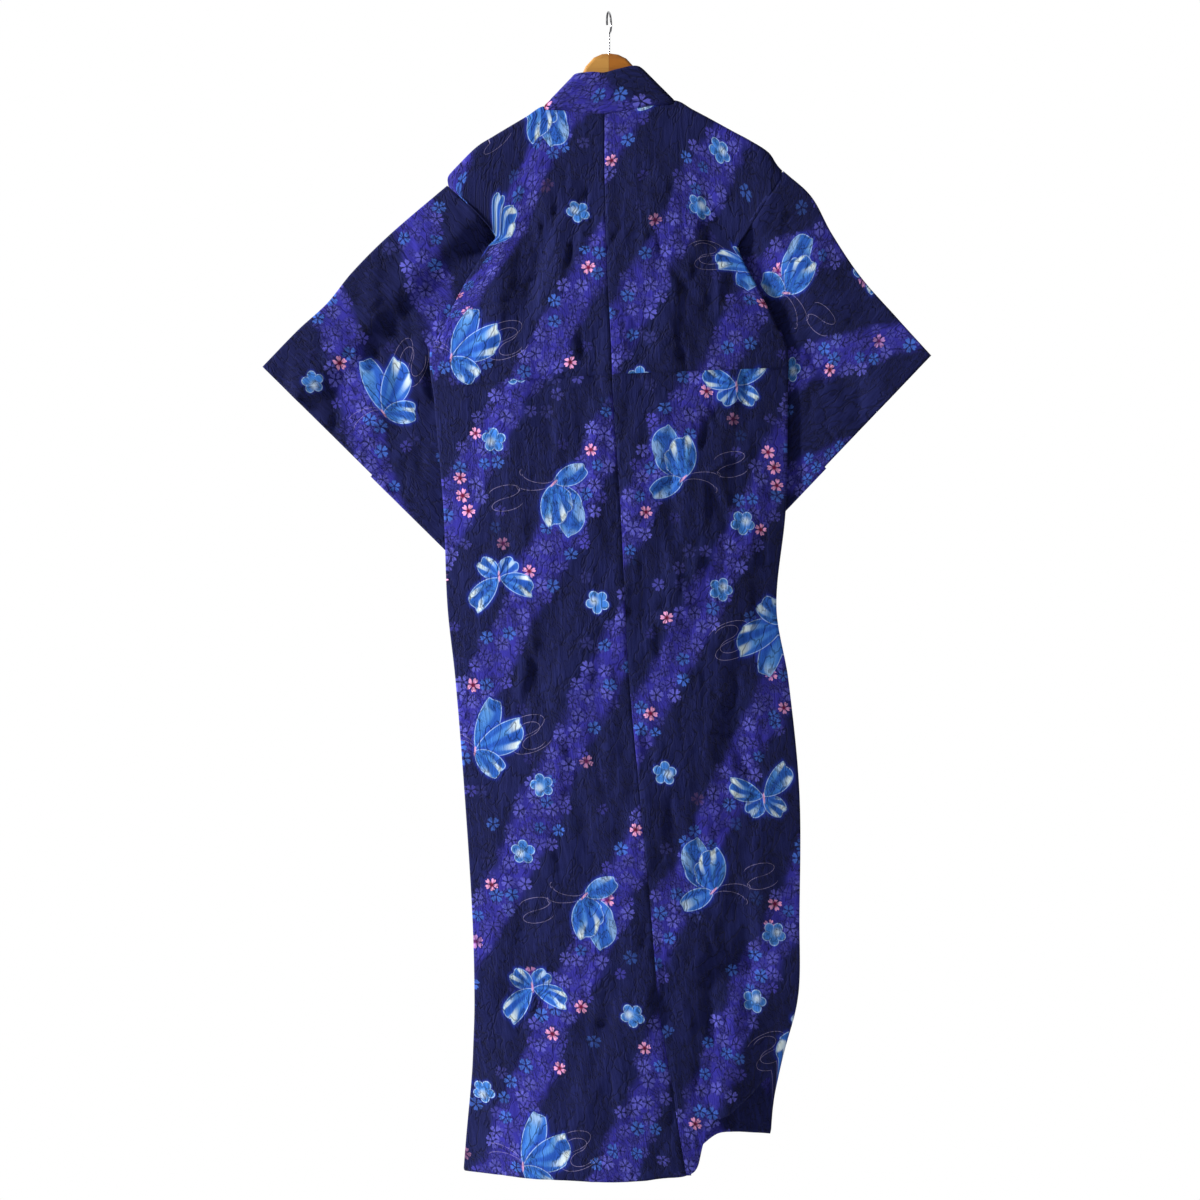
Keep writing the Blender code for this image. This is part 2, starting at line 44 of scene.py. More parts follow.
import bmesh
import bpy
import numpy as np
from mathutils import Vector

MM = 0.001

# Cloth
WALL = 0.9
COLLAR_WALL = 2.6
SEAM_GAP = 0.7
SIDE_RADIUS = 3.0
LAYER_STEP = 6.0
SLEEVE_LIFT = 3.3
SLEEVE_LAYER = 19.0

# Finished widths, as in the solids. A side is -1 on the left and 1 on the right.
FRONT_SEAM = {-1: 246.0, 1: 287.0}
OKUMI_WIDTH = 140.0
OKUMI_TOP = -400.0
OKUMI_LEVEL = -590.0         # its seam runs straight up from here
COLLAR_WIDTH = 56.0
COLLAR_END = -990.0
SLEEVE_LENGTH = 490.0
CUFF_OPENING = 230.0

SIDES = {-1: "left", 1: "right"}
BODY_COLUMNS = ("height", "left", "centre", "right", "back_depth", "front_depth")
BODY_ROWS = (
    (-250, -257, -7, 262, 8, 9),
    (-337, -173, -5, 207, 12, 12),
    (-356, -185, -4, 196, 13, 13),
    (-418, -223, -2, 226, 17, 16),
    (-470, -248, 1, 252, 20, 18),
    (-511, -268, 3, 267, 22, 19),
    (-590, -262, 6, 268, 25, 20),
    (-754, -248, 17, 265, 28, 23),
    (-901, -242, 24, 251, 29, 24),
    (-1011, -230, 30, 269, 28, 24),
    (-1186, -216, 46, 286, 27, 24),
    (-1376, -204, 64, 286, 25, 23),
    (-1500, -201, 74, 284, 27, 24),
    (-1573, -203, 86, 264, 33, 26),
    (-1613, -205, 93, 243, 40, 27),
    (-1700, -213, 106, 245, 52, 30),
    (-1762, -218, 117, 246, 60, 32),
)

# Top outline by column: x, height and half depth
TOP = {
    -1: (
        (-8, -154, 12), (-35, -153, 11.5), (-70, -149, 10), (-97, -141, 7.6),
        (-122, -156, 7.6), (-149, -172, 7.6), (-174, -187, 7.6), (-199, -203, 7.6),
        (-229, -232, 5.0), (-257, -261, 3.0),
    ),
    1: (
        (-6, -154, 12), (24, -149, 11.5), (60, -142, 10), (97, -132, 7.6),
        (125, -146, 7.6), (155, -162, 7.6), (184, -178, 7.6), (212, -193, 7.6),
        (240, -211, 7.0), (266, -239, 3.0),
    ),
}
NECK_COLUMN = 3
LAST_COLUMN = 9
NOTCH_SHARE = {-1: 0.050, 1: 0.075}
SIDE_START = 0.158           # share of the way down where the side seam begins

HEM_LEVEL = -1757.0
HEM_START = 0.72
HEM_COLUMNS = ("x", "back", "front")
HEM_ROWS = (
    (-225, -1757, -1748), (-105, -1760, -1752), (21, -1762, -1750), (85, -1757, -1744),
    (120, -1754, -1736), (136, -1742, -1728), (150, -1706, -1715), (166, -1683, -1704),
    (192, -1661, -1700), (218, -1637, -1701), (246, -1611, -1702),
)

# Largest soft folds by face: x1, z1, x2, z2, width and depth, as in the solids
FOLDS = {
    "back": (
        (-80, -210, -160, -560, 26, 6), (-130, -330, -215, -620, 22, -4),
        (150, -250, 215, -420, 24, 5), (90, -260, 170, -520, 26, -4),
        (-60, -760, -150, -1180, 34, 5), (110, -700, 190, -1120, 34, -5),
        (60, -1080, 30, -1440, 30, -5), (190, -1250, 215, -1560, 26, 6),
        (-120, -1250, -90, -1640, 30, 5), (20, -1430, 10, -1720, 32, -6),
        (150, -1440, 175, -1640, 22, 7),
    ),
    "front": (
        (-60, -400, -130, -760, 30, 4), (40, -1060, 90, -1500, 34, 5),
        (-110, -1000, -60, -1560, 36, -5), (150, -1180, 170, -1640, 28, -5),
    ),
    "sleeve": (
        (-300, -360, -410, -560, 24, 4), (-250, -420, -330, -650, 22, -5),
        (-440, -520, -380, -640, 20, 4), (290, -400, 285, -700, 20, -7),
        (325, -420, 330, -640, 18, 6), (390, -440, 400, -560, 20, -4),
    ),
}

# Long creases that only the dressed cloth has, in the same columns
LONG_CREASES = {
    "back": (
        (-74, -268, -140, -500, 10, 4.5), (-96, -205, -210, -380, 9, -3),
        (120, -240, 205, -350, 9, 3), (40, -190, 110, -300, 10, -2.5),
        (146, -480, 191, -450, 6, 2.5), (60, -330, 150, -470, 8, 2.5),
        (-150, -870, -92, -1065, 9, 3.5), (-108, -890, -142, -1085, 8, -3),
        (120, -640, 205, -840, 9, 3), (70, -760, 140, -960, 9, -2.5),
        (205, -690, 230, -900, 8, -3), (-235, -1462, -20, -1512, 24, 11),
        (-60, -1532, 80, -1546, 18, 8), (100, -1478, 300, -1410, 26, 11),
        (-170, -1560, 20, -1590, 9, -2.5), (-185, -1180, -120, -1390, 9, 3),
        (160, -1040, 240, -1230, 9, 3), (-210, -560, -150, -700, 8, 3),
    ),
    "front": (
        (-150, -520, -90, -760, 9, 3), (100, -560, 160, -800, 9, -3),
        (-170, -1000, -110, -1240, 9, 3), (60, -1240, 120, -1480, 9, 3),
    ),
    "sleeve": (
        (-405, -352, -262, -400, 7, 3.5), (-425, -420, -288, -452, 6, 3),
        (-385, -470, -300, -520, 6, -3), (-470, -500, -350, -600, 8, 3),
        (-340, -380, -290, -560, 8, -3), (300, -384, 425, -350, 6, 3),
        (320, -450, 440, -425, 7, -3), (290, -520, 400, -560, 7, 3),
    ),
}

# Across and along the slant at which the sleeves hang, about 45 degrees
TILT, TILT_DOWN = 0.7, 0.714
SLEEVES = {
    "left": {
        "side": -1, "tip": (-524, -539),
        "cuff": (0.711, -0.703), "layer": 0.0,
        "bow": ((0, 0), (0.3, 8), (0.5, 7), (0.65, 0), (0.8, 2), (1, 0)),
    },
    "right": {
        "side": 1, "tip": (487, -522),
        "cuff": (-0.690, -0.724), "layer": SLEEVE_LAYER,
        "bow": ((0, 0), (0.16, 9), (0.33, -2), (0.55, -9), (0.78, -5), (1, 0)),
    },
}

# The collar's upper edge: from the middle of the back, then over the shoulder
COLLAR_TOP = {-1: ((8, -11.5, -88), (-8, -11.5, -92), (-26, -11, -91), (-46, -9.8, -93)),
              1: ((8, -11.5, -88), (20, -11.5, -85), (33, -11, -82), (45, -9.8, -83))}
COLLAR_TURN = {-1: ((-54, 0, -97), (-49, 9.5, -108)), 1: ((59, 0, -95), (54, 9.5, -105))}
COLLAR_START = {-1: -93.0, 1: 92.0}      # where its seam leaves the shoulder

# A seam allowance: how far past the seam, and how far in behind the next piece
ALLOWANCE = ((0.0, 0.0), (0.4, 1.4), (1.4, 2.3), (8.0, 2.5))

# The tuck across the back: height at the centre seam and its slope to each side
TUCK_HEIGHT = -550.0
TUCK_SLOPE = {-1: -0.068, 1: 0.045}
TUCK_STEP = 1.3
TUCK_FADE = 60.0             # height over which the step dies out again
TUCK_ROW = 0.255             # the grid's row share that follows the tuck
TUCK_CLOSE = 0.0008          # shares of a row that keep the step sharp
TUCK_TAKES = 27.0            # how much of the print the tuck hides

# Points of the grids: rows above and below the tuck, the others' rows, and columns
ROWS_ABOVE, ROWS_BELOW = 90, 272
OKUMI_ROWS, COLLAR_ROWS = 330, 190
SLEEVE_ROWS = (28, 34, 62)   # along the seam, the cuff and below it
PANEL_COLUMNS, OKUMI_COLUMNS, SLEEVE_COLUMNS, COLLAR_COLUMNS = 64, 34, 88, 15
NOISE_CELLS = 64

# The print on the panels: where the shoulder fold lies, and what it takes to keep the
# print straight across a fold that slopes
FOLD_AT = 110.0
FOLD_REACH = 260.0
NECK_WIDTH = 97.0
NECK_SPREAD = 0.13
TURNED_AT = 1423.0           # the left panel's print starts here and runs the other way
OKUMI_PRINT = (120.0, 300.0)
SLEEVE_PRINT = {"left": (70.0, 479.0, -1.0), "right": (16.0, -29.0, 1.0)}
COLLAR_PRINT = 60.0

# Relief: the dip along the centre seam and its width, and how far an open edge gapes
SEAM_DIP = 1.1
SEAM_DIP_WIDTH = 2.6
GAPE = 8.0

# Short pressed creases by face: count, least and greatest length, width, depth, the seed
# of their draws and the first seed of the unevenness
CREASES = {
    "back": (470, 18, 100, 3.2, 2.7, 11, 3),
    "front": (340, 18, 100, 3.2, 2.5, 23, 5),
    "sleeve": (360, 18, 95, 3.2, 2.4, 37, 7),
}
# Where they lie: least and greatest x and height, for a sleeve on either side of the robe
CREASE_FIELD = ((-265, 290), (-1740, -180))
SLEEVE_FIELD = ((190, 510), (-800, -280))
LEANS = (0.0, 0.1, -0.12, 0.4, -0.5, 0.9, -1.2, 1.5)      # radians from straight down
# Slow unevenness: height, size across, size down, and where its noise is read from
UNEVENNESS = ((3.4, 46.0, 150.0, 9), (2.3, 19.0, 56.0, 9), (1.0, 11.0, 18.0, 31))


def stacked(*parts):
    """Points or print places from their coordinates."""
    return np.stack(np.broadcast_arrays(*parts), axis=-1)


def smoothstep(low, high, value):
    share = np.clip((value - low) / (high - low), 0.0, 1.0)
    return share * share * (3.0 - 2.0 * share)


def mix(first, second, share):
    return first + (second - first) * share


def along(rows, column, at):
    """A smooth curve through one column of a table, by the table's first column."""
    table = np.array([(row[0], row[column]) for row in rows], float)
    keys, values = table[np.argsort(table[:, 0])].T
    slopes = np.empty_like(values)
    slopes[1:-1] = (values[2:] - values[:-2]) / (keys[2:] - keys[:-2])
    slopes[0] = (values[1] - values[0]) / (keys[1] - keys[0])
    slopes[-1] = (values[-1] - values[-2]) / (keys[-1] - keys[-2])
    at = np.clip(at, keys[0], keys[-1])
    i = np.clip(np.searchsorted(keys, at, side="right") - 1, 0, len(keys) - 2)
    step = keys[i + 1] - keys[i]
    t = (at - keys[i]) / step
    return ((2 * t**3 - 3 * t**2 + 1) * values[i] + (t**3 - 2 * t**2 + t) * slopes[i] * step
            + (3 * t**2 - 2 * t**3) * values[i + 1] + (t**3 - t**2) * slopes[i + 1] * step)


def body(name, z):
    return along(BODY_ROWS, BODY_COLUMNS.index(name), z)


def hem(face, x):
    return along(HEM_ROWS, HEM_COLUMNS.index(face), x)


def across(x, z):
    """-1 at the left side fold, 0 in the middle and 1 at the right one."""
    left, right = body("left", z), body("right", z)
    return (2.0 * x - left - right) / (right - left)


def relief(folds, x, z):
    """Depth of soft folds at a point, positive into the body."""
    total = np.zeros(np.broadcast(x, z).shape)
    for x1, z1, x2, z2, width, depth in folds:
        run_x, run_z = x2 - x1, z2 - z1
        length = math.hypot(run_x, run_z)
        share = np.clip(((x - x1) * run_x + (z - z1) * run_z) / length**2, 0.0, 1.0)
        off = ((x - x1) * run_z - (z - z1) * run_x) / length
        total += depth * np.sin(np.pi * share) ** 2 * np.exp(-((off / width) ** 2))
    return total


def lens(x, z, face):
    """Half depth of the flattened tube: deep in the middle, thin at the side folds."""
    round_off = np.maximum(0.0, 1.0 - across(x, z) ** 2)
    folds = relief(FOLDS[face], x, z) + creases(face, x, z)
    return (SIDE_RADIUS + body(face + "_depth", z) * round_off
            - folds * np.minimum(1.0, 2.0 * round_off))


def under_step(x, z):
    """How far the right front lies under the left one, fading to its own side."""
    reach = 0.25 + 0.53 * smoothstep(-240, -990, z)
    fade = 1.0 - smoothstep(reach, np.minimum(1.0, reach + 0.25), across(x, z))
    return LAYER_STEP * smoothstep(-185, -240, z) * fade


def front_depth(side, x, z):
    depth = lens(x, z, "front")
    return depth if side < 0 else depth - under_step(x, z)


def okumi_seam(side, z):
    z = np.minimum(z, OKUMI_LEVEL)
    return body(SIDES[side], z) - side * FRONT_SEAM[side]


def okumi_edge(side, z):
    return okumi_seam(side, z) - side * OKUMI_WIDTH


def collar_line(side, z):
    """Where the collar is sewn to a front: the neck above, the okumi's edge below."""
    share = np.clip((z + 150.0) / (COLLAR_END + 150.0), 0.0, 1.0)
    return mix(COLLAR_START[side], okumi_edge(side, COLLAR_END), share ** 0.85)


def front_inner(side, z):
    """The inner edge of a front panel, sewn to the collar and then to the okumi."""
    edges = (collar_line(side, z), okumi_seam(side, z))
    inner = np.minimum(*edges) if side < 0 else np.maximum(*edges)
    return inner + side * SEAM_GAP


def noise(u, v, seed):
    """Smooth value noise between -1 and 1, one lattice step for each unit."""
    table = np.random.RandomState(seed).uniform(-1.0, 1.0, (NOISE_CELLS, NOISE_CELLS))
    i, j = np.floor(u).astype(int), np.floor(v).astype(int)
    s, t = u - i, v - j
    s, t = s * s * (3 - 2 * s), t * t * (3 - 2 * t)
    i0, i1, j0, j1 = (k % NOISE_CELLS for k in (i, i + 1, j, j + 1))
    return mix(mix(table[i0, j0], table[i1, j0], s), mix(table[i0, j1], table[i1, j1], s), t)


def crease_lines(face):
    """Pressed creases, seeded, in a few directions that folding for storage gives."""
    count, least, most, width, depth, seed, _ = CREASES[face]
    draw = np.random.RandomState(seed)
    lines = []
    for _ in range(count):
        x, z = (draw.uniform(*reach) for reach in CREASE_FIELD)
        if face == "sleeve":
            x = draw.choice((-1, 1)) * draw.uniform(*SLEEVE_FIELD[0])
            z = draw.uniform(*SLEEVE_FIELD[1])
        lean = draw.choice(LEANS) + draw.normal(0, 0.16)
        length = draw.uniform(least, most)
        run_x, run_z = math.sin(lean) * length, -math.cos(lean) * length
        size = depth * draw.uniform(0.35, 1.0) * draw.choice((1, 1, -0.8))
        lines.append((x, z, x + run_x, z + run_z, width * draw.uniform(0.8, 1.7), size))
    return lines


def creases(face, x, z):
    """Fine relief of the cloth: pressed creases and a slow unevenness."""
    x, z = np.broadcast_arrays(np.asarray(x, float), np.asarray(z, float))
    total = np.zeros(x.shape)
    for line in CREASE_LINES[face]:
        x1, z1, x2, z2, width, _ = line
        near = ((x > min(x1, x2) - 4 * width) & (x < max(x1, x2) + 4 * width)
                & (z > min(z1, z2) - 4 * width) & (z < max(z1, z2) + 4 * width))
        if near.any():
            total[near] += relief((line,), x[near], z[near])
    for i, (height, wide, tall, start) in enumerate(UNEVENNESS):
        total += height * noise(x / wide + start, z / tall + 40, CREASES[face][-1] + i)
    return total


CREASE_LINES = {face: crease_lines(face) + list(LONG_CREASES[face]) for face in CREASES}


class Cloth:
    """Grids of points that are welded into one sheet, with the print's own map."""

    def __init__(self):
        self.points = []
        self.prints = []
        self.faces = []
        self.count = 0

    def grid(self, points, prints):
        """Adds points (rows, columns, 3) in mm with print places (rows, columns, 2)."""
        rows, columns = points.shape[:2]
        numbers = np.arange(rows * columns).reshape(rows, columns) + self.count
        faces = np.stack([numbers[:-1, :-1], numbers[:-1, 1:],
                          numbers[1:, 1:], numbers[1:, :-1]], axis=-1).reshape(-1, 4)
        self.points.append(points.reshape(-1, 3))
        self.prints.append(prints.reshape(-1, 2))
        self.faces.append(faces)
        self.count += rows * columns

    def build(self, name, wall, material):
        points = np.concatenate(self.points) * MM
        prints = np.concatenate(self.prints) * MM
        faces = np.concatenate(self.faces)
        mesh = bpy.data.meshes.new(name)
        mesh.from_pydata(points.tolist(), [], faces.tolist())
        layer = mesh.uv_layers.new(name="print")
        layer.data.foreach_set("uv", prints[faces.reshape(-1)].astype(np.float32).ravel())
        shape = bmesh.new()
        shape.from_mesh(mesh)
        bmesh.ops.remove_doubles(shape, verts=shape.verts, dist=0.02 * MM)
        bmesh.ops.recalc_face_normals(shape, faces=shape.faces)
        shape.to_mesh(mesh)
        shape.free()
        mesh.materials.append(material)
        piece = bpy.data.objects.new(name, mesh)
        bpy.context.collection.objects.link(piece)
        solid = piece.modifiers.new("wall", "SOLIDIFY")
        solid.thickness = wall * MM
        solid.offset = 0.0
        mesh.shade_smooth()
        return piece


def fold_over(near, far, outward, steps=6):
    """Rows of points round a fold from one edge to another, ends included."""
    angle = np.linspace(0.0, np.pi, steps + 1)[:, None, None]
    share = (1.0 - np.cos(angle)) / 2.0
    reach = np.abs(far[:, 1] - near[:, 1])[None, :, None] / 2.0
    return mix(near[None], far[None], share) + np.asarray(outward) * reach * np.sin(angle)


def add_fold(cloth, near, far, outward, near_print, far_print, steps=6):
    """A fold whose first half carries the near print and whose second half the far one."""
    ring = fold_over(near, far, outward, steps)
    half = steps // 2
    for part, print_at in ((ring[:half + 1], near_print), (ring[half:], far_print)):
        cloth.grid(part, np.broadcast_to(print_at, part.shape[:1] + print_at.shape))


def top_line(side, column):
    """A panel's top edge by column: x, height and half depth."""
    rows = [(i, *row) for i, row in enumerate(TOP[side])]
    return [along(rows, i, column) for i in (1, 2, 3)]


def panel_top(side, column):
    """The same, lowered by the fold's half depth from the neck outwards."""
    x, z, depth = top_line(side, column)
    return x, z - depth * smoothstep(NECK_COLUMN - 0.5, NECK_COLUMN, column), depth


def body_points(side, face, column, down):
    """Points of a back or front panel, by column from the middle and way down."""
    top_x, top_z, top_depth = panel_top(side, column)
    sign = -1.0 if face == "back" else 1.0
    x = top_x
    for _ in range(2):
        z = mix(top_z, HEM_LEVEL, down)
        z = z + (hem(face, x) - HEM_LEVEL) * smoothstep(HEM_START, 1.0, down)
        side_x = body(SIDES[side], z)
        if face == "back":
            start, share = body("centre", z) + side * SEAM_GAP / 2, column / LAST_COLUMN
        else:
            start = front_inner(side, z)
            share = (column - NECK_COLUMN) / (LAST_COLUMN - NECK_COLUMN)
        row_x = mix(start, side_x, share)
        settle = mix(smoothstep(0.0, 0.05, down), 1.0, smoothstep(8.0, 9.0, column))
        if face == "back":
            settle = mix(1.0, settle, smoothstep(0.0, 1.0, column))
        x = mix(top_x, row_x, settle)
    depth = lens(x, z, face) if face == "back" else front_depth(side, x, z)
    depth = mix(top_depth, depth, smoothstep(0, 150, top_z - z))
    open_share = np.minimum(1.0, down / NOTCH_SHARE[side])
    depth = depth + GAPE * np.sin(np.pi * open_share) * (column / LAST_COLUMN) ** 10
    if face == "back":
        off = np.abs(x - body("centre", z))
        depth = depth - SEAM_DIP * np.exp(-((off / SEAM_DIP_WIDTH) ** 2))
        tuck = TUCK_HEIGHT + TUCK_SLOPE[side] * off
        depth = depth + TUCK_STEP * smoothstep(-0.8, 0.8, z - tuck) * np.exp(
            -np.maximum(z - tuck, 0.0) / TUCK_FADE)
    return stacked(x, sign * depth, z)


def tuck_share(side, column):
    """Share of the way down at which a column crosses the tuck."""
    _, top_z, _ = panel_top(side, column)
    off = column / LAST_COLUMN * 265.0
    return (top_z - TUCK_HEIGHT - TUCK_SLOPE[side] * off) / (top_z - HEM_LEVEL)


def down_grid(side, column):
    """Row shares by column, with one row along the tuck."""
    rows = np.unique(np.concatenate([
        np.linspace(0.0, TUCK_ROW, ROWS_ABOVE), np.linspace(TUCK_ROW, 1.0, ROWS_BELOW),
        [TUCK_ROW - TUCK_CLOSE, TUCK_ROW + TUCK_CLOSE]]))
    tuck = tuck_share(side, column)
    at = rows[:, None]
    below = tuck[None] + (at - TUCK_ROW) / (1 - TUCK_ROW) * (1 - tuck[None])
    return rows, np.where(at <= TUCK_ROW, at / TUCK_ROW * tuck[None], below)


def body_print(side, face, points, column):
    """Place in the print: distance from the centre seam, and the way down the cloth.

    The shoulder fold is a straight line across the cloth, though it slopes on the
    hanger, so the print near it is measured from the fold."""
    x, z = points[..., 0], points[..., 2]
    _, top_z, _ = top_line(side, column)
    below = top_z - z
    near_fold = 1.0 - smoothstep(0.0, FOLD_REACH, below)
    off = np.abs(x - body("centre", z))
    p = off + NECK_SPREAD * np.maximum(0.0, off - NECK_WIDTH) * near_fold
    if face == "front":
        return p, 2.0 * FOLD_AT + z + TUCK_TAKES + (-top_z - FOLD_AT - TUCK_TAKES) * near_fold
    fall = np.maximum(0.0, -top_z - TUCK_TAKES - FOLD_AT)
    return p, -z - TUCK_TAKES - fall * near_fold


def print_place(side, p, q):
    """The left panel carries the right panel's repeat turned upside down."""
    return stacked(p, TURNED_AT - q if side < 0 else q)


def add_allowance(cloth, edge, print_at, out=(1.0, 0.0, 0.0), inward=(0.0, 1.0, 0.0)):
    """The strip behind a seam, pressed under the neighbouring piece."""
    out, inward = np.asarray(out), np.asarray(inward)
    steps = [edge + out * reach + inward * drop for reach, drop in ALLOWANCE]
    prints = [print_at + np.array((reach, 0.0)) for reach, _ in ALLOWANCE]
    cloth.grid(np.stack(steps, axis=1), np.stack(prints, axis=1))


def make_body(side, material):
    columns = np.concatenate([[0.0, 0.05, 0.11], np.linspace(0.2, LAST_COLUMN, PANEL_COLUMNS)])
    rows, down = down_grid(side, columns)
    back = body_points(side, "back", columns[None], down)
    p, q = body_print(side, "back", back, columns[None])
    cloth = Cloth()
    split = int(np.argmin(np.abs(rows - TUCK_ROW)))
    upper = print_place(side, p, q)
    lower = print_place(side, p, q + TUCK_TAKES)
    cloth.grid(back[:split + 1], upper[:split + 1])
    cloth.grid(back[split:], lower[split:])

    if side < 0:
        add_allowance(cloth, back[:split + 1, 0], upper[:split + 1, 0])
        add_allowance(cloth, back[split:, 0], lower[split:, 0])

    front_columns = columns[columns > NECK_COLUMN + 0.03]
    front_columns = np.concatenate([[NECK_COLUMN], front_columns])
    front_rows, front_down = down_grid(side, front_columns)
    front = body_points(side, "front", front_columns[None], front_down)
    front_print = print_place(side, *body_print(side, "front", front, front_columns[None]))
    cloth.grid(front, front_print)

    edge, edge_print = (stacked(*(np.interp(front_columns, columns, values)
                                  for values in grid[0].T)) for grid in (back, upper))
    up = (side * 0.3, 0.0, 0.954)
    add_fold(cloth, edge, front[0], up, edge_print, front_print[0], 8)
    seam = down[:, -1] >= SIDE_START
    out = (side, 0.0, 0.0)
    add_fold(cloth, back[seam, -1], front[seam, -1], out,
             lower[seam, -1], front_print[seam, -1])
    return cloth.build("yukata_body_" + SIDES[side], WALL, material)


def make_okumi(side, material):
    """The overlap panel, pointed at the top and straight down its front edge."""
    down = np.linspace(0.12, 1.0, OKUMI_ROWS)[:, None]
    edge = body_points(side, "front", np.array([float(NECK_COLUMN)]), down)
    x, z = edge[:, 0, 0], edge[:, 0, 2]
    start = x - side * SEAM_GAP
    end = np.where(z > COLLAR_END, collar_line(side, z) + side * SEAM_GAP, okumi_edge(side, z))
    keep = (-side * (end - start) > 6.0) & (z < OKUMI_TOP)
    start, end, z, down = start[keep], end[keep], z[keep], down[keep, 0]
    share = np.linspace(0.0, 1.0, OKUMI_COLUMNS)[None]
    x = mix(start[:, None], end[:, None], share)
    low = z[:, None] + (hem("front", x) - hem("front", start)[:, None]) * smoothstep(
        HEM_START, 1.0, down)[:, None]
    depth = front_depth(side, x, low)
    points = stacked(x, depth, low)
    prints = stacked(OKUMI_PRINT[0] + np.abs(x - start[:, None]), OKUMI_PRINT[1] - low)
    cloth = Cloth()
    cloth.grid(points, prints)
    return cloth.build("yukata_okumi_" + SIDES[side], WALL, material)


def armhole_seam(side):
    """The body's edge that the sleeve is sewn to, with the length so far."""
    down = np.linspace(0.0, NOTCH_SHARE[side], 24)[:, None]
    points = body_points(side, "back", np.array([float(LAST_COLUMN)]), down)[:, 0]
    steps = np.hypot(np.diff(points[:, 0]), np.diff(points[:, 2]))
    return points, np.concatenate([[0.0], np.cumsum(steps)])


def sleeve_points(part, layer, share, length_down):
    side = part["side"]
    seam, lengths = armhole_seam(side)
    total = lengths[-1]
    over = np.maximum(0.0, length_down - total) / total
    start_x = np.interp(length_down, lengths, seam[:, 0]) + side * SEAM_GAP
    start_z = np.interp(length_down, lengths, seam[:, 2])
    start_x = start_x + (seam[-1, 0] - seam[0, 0]) * over
    start_z = start_z + (seam[-1, 2] - seam[0, 2]) * over
    tip_x, tip_z = part["tip"]
    end_x = tip_x + part["cuff"][0] * length_down
    end_z = tip_z + part["cuff"][1] * length_down
    keep = (1.0 - length_down / SLEEVE_LENGTH) ** 2
    bow = along(part["bow"], 1, share) * keep
    x = mix(start_x, end_x, share) + side * TILT * bow
    z = mix(start_z, end_z, share) + TILT * bow

    low = np.minimum(1.0, length_down / total)
    settle = smoothstep(0.6, 1.0, low)
    mouth = GAPE * np.sin(np.pi * low) * (1.0 - share) ** 2
    reach = np.abs(across(x, z))
    over_body = (1.0 - smoothstep(0.94, 1.0, reach)) * (1.0 - smoothstep(
        seam[-1, 2] - 5.0, seam[-1, 2] + 20.0, z))
    under = mix(SIDE_RADIUS, lens(x, z, "front"), over_body)
    fine = creases("sleeve", x, z) * smoothstep(0.0, 40.0, length_down)
    rest = under + SLEEVE_LIFT + 0.5 * relief(FOLDS["sleeve"], x, z)
    rest = rest + np.maximum(-1.5, fine)
    if part["layer"]:
        rest = rest + part["layer"] * (1.0 - smoothstep(100.0, 200.0, x)) * settle
    near = mix(-SIDE_RADIUS - mouth + 0.7 * fine, rest, settle)
    if layer == "near":
        return stacked(x, near, z)
    middle = 9.0 * np.sin(np.pi * length_down / SLEEVE_LENGTH)
    middle = middle * smoothstep(0.0, 0.3, share) * (1.0 - smoothstep(0.75, 1.0, share))
    cuff = 12.0 * np.sin(np.pi * np.minimum(1.0, length_down / CUFF_OPENING)) * share ** 4
    far = near + 2.0 * SIDE_RADIUS + 2.0 * mouth + middle + cuff
    return stacked(x, far, z)


def sleeve_print(name, a, b):
    """Place of a sleeve's cloth in the print, along the top edge and down from it."""
    p, q, way = SLEEVE_PRINT[name]
    return stacked(a - p, q + way * b)


def make_sleeve(name, material):
    """A flat bag, folded at the top and open towards the hand and the body."""
    part = SLEEVES[name]
    side = part["side"]
    share = np.linspace(0.0, 1.0, SLEEVE_COLUMNS)[None]
    seam_length = armhole_seam(side)[1][-1]
    stops = (0.0, seam_length, CUFF_OPENING, SLEEVE_LENGTH)
    lengths = np.unique(np.concatenate([np.linspace(*reach) for reach in zip(
        stops, stops[1:], SLEEVE_ROWS)]))
    layers, prints = {}, {}
    cloth = Cloth()
    width = math.dist(part["tip"], (armhole_seam(side)[0][0, 0], armhole_seam(side)[0][0, 2]))
    for layer, sign in (("near", 1.0), ("far", -1.0)):
        layers[layer] = sleeve_points(part, layer, share, lengths[:, None])
        prints[layer] = sleeve_print(name, share * width, sign * lengths[:, None])
        cloth.grid(layers[layer], prints[layer])
        seam = lengths <= seam_length + 0.01
        add_allowance(cloth, layers[layer][seam, 0], prints[layer][seam, 0],
                      (-side, 0.0, 0.0), (0.0, sign, 0.0))
    near, far = layers["near"], layers["far"]
    up = np.array((side * TILT, 0.0, TILT_DOWN))
    add_fold(cloth, near[0], far[0], up, prints["near"][0], prints["far"][0])
    hand = lengths >= CUFF_OPENING - 0.01
    path = {}
    for layer in ("near", "far"):
        for kind, grid in (("points", layers[layer]), ("prints", prints[layer])):
            path[layer, kind] = np.concatenate([grid[hand, -1], grid[-1, -2::-1]])
    hand_out = np.tile((side * TILT, 0.0, -TILT_DOWN), (int(hand.sum()) - 1, 1))
    down_out = np.tile((-side * TILT, 0.0, -TILT_DOWN), (near.shape[1] - 1, 1))
    out = np.concatenate([hand_out, [(0.0, 0.0, -1.0)], down_out])
    add_fold(cloth, path["near", "points"], path["far", "points"], out,
             path["near", "prints"], path["far", "prints"])
    return cloth.build("yukata_sleeve_" + name, WALL, material)


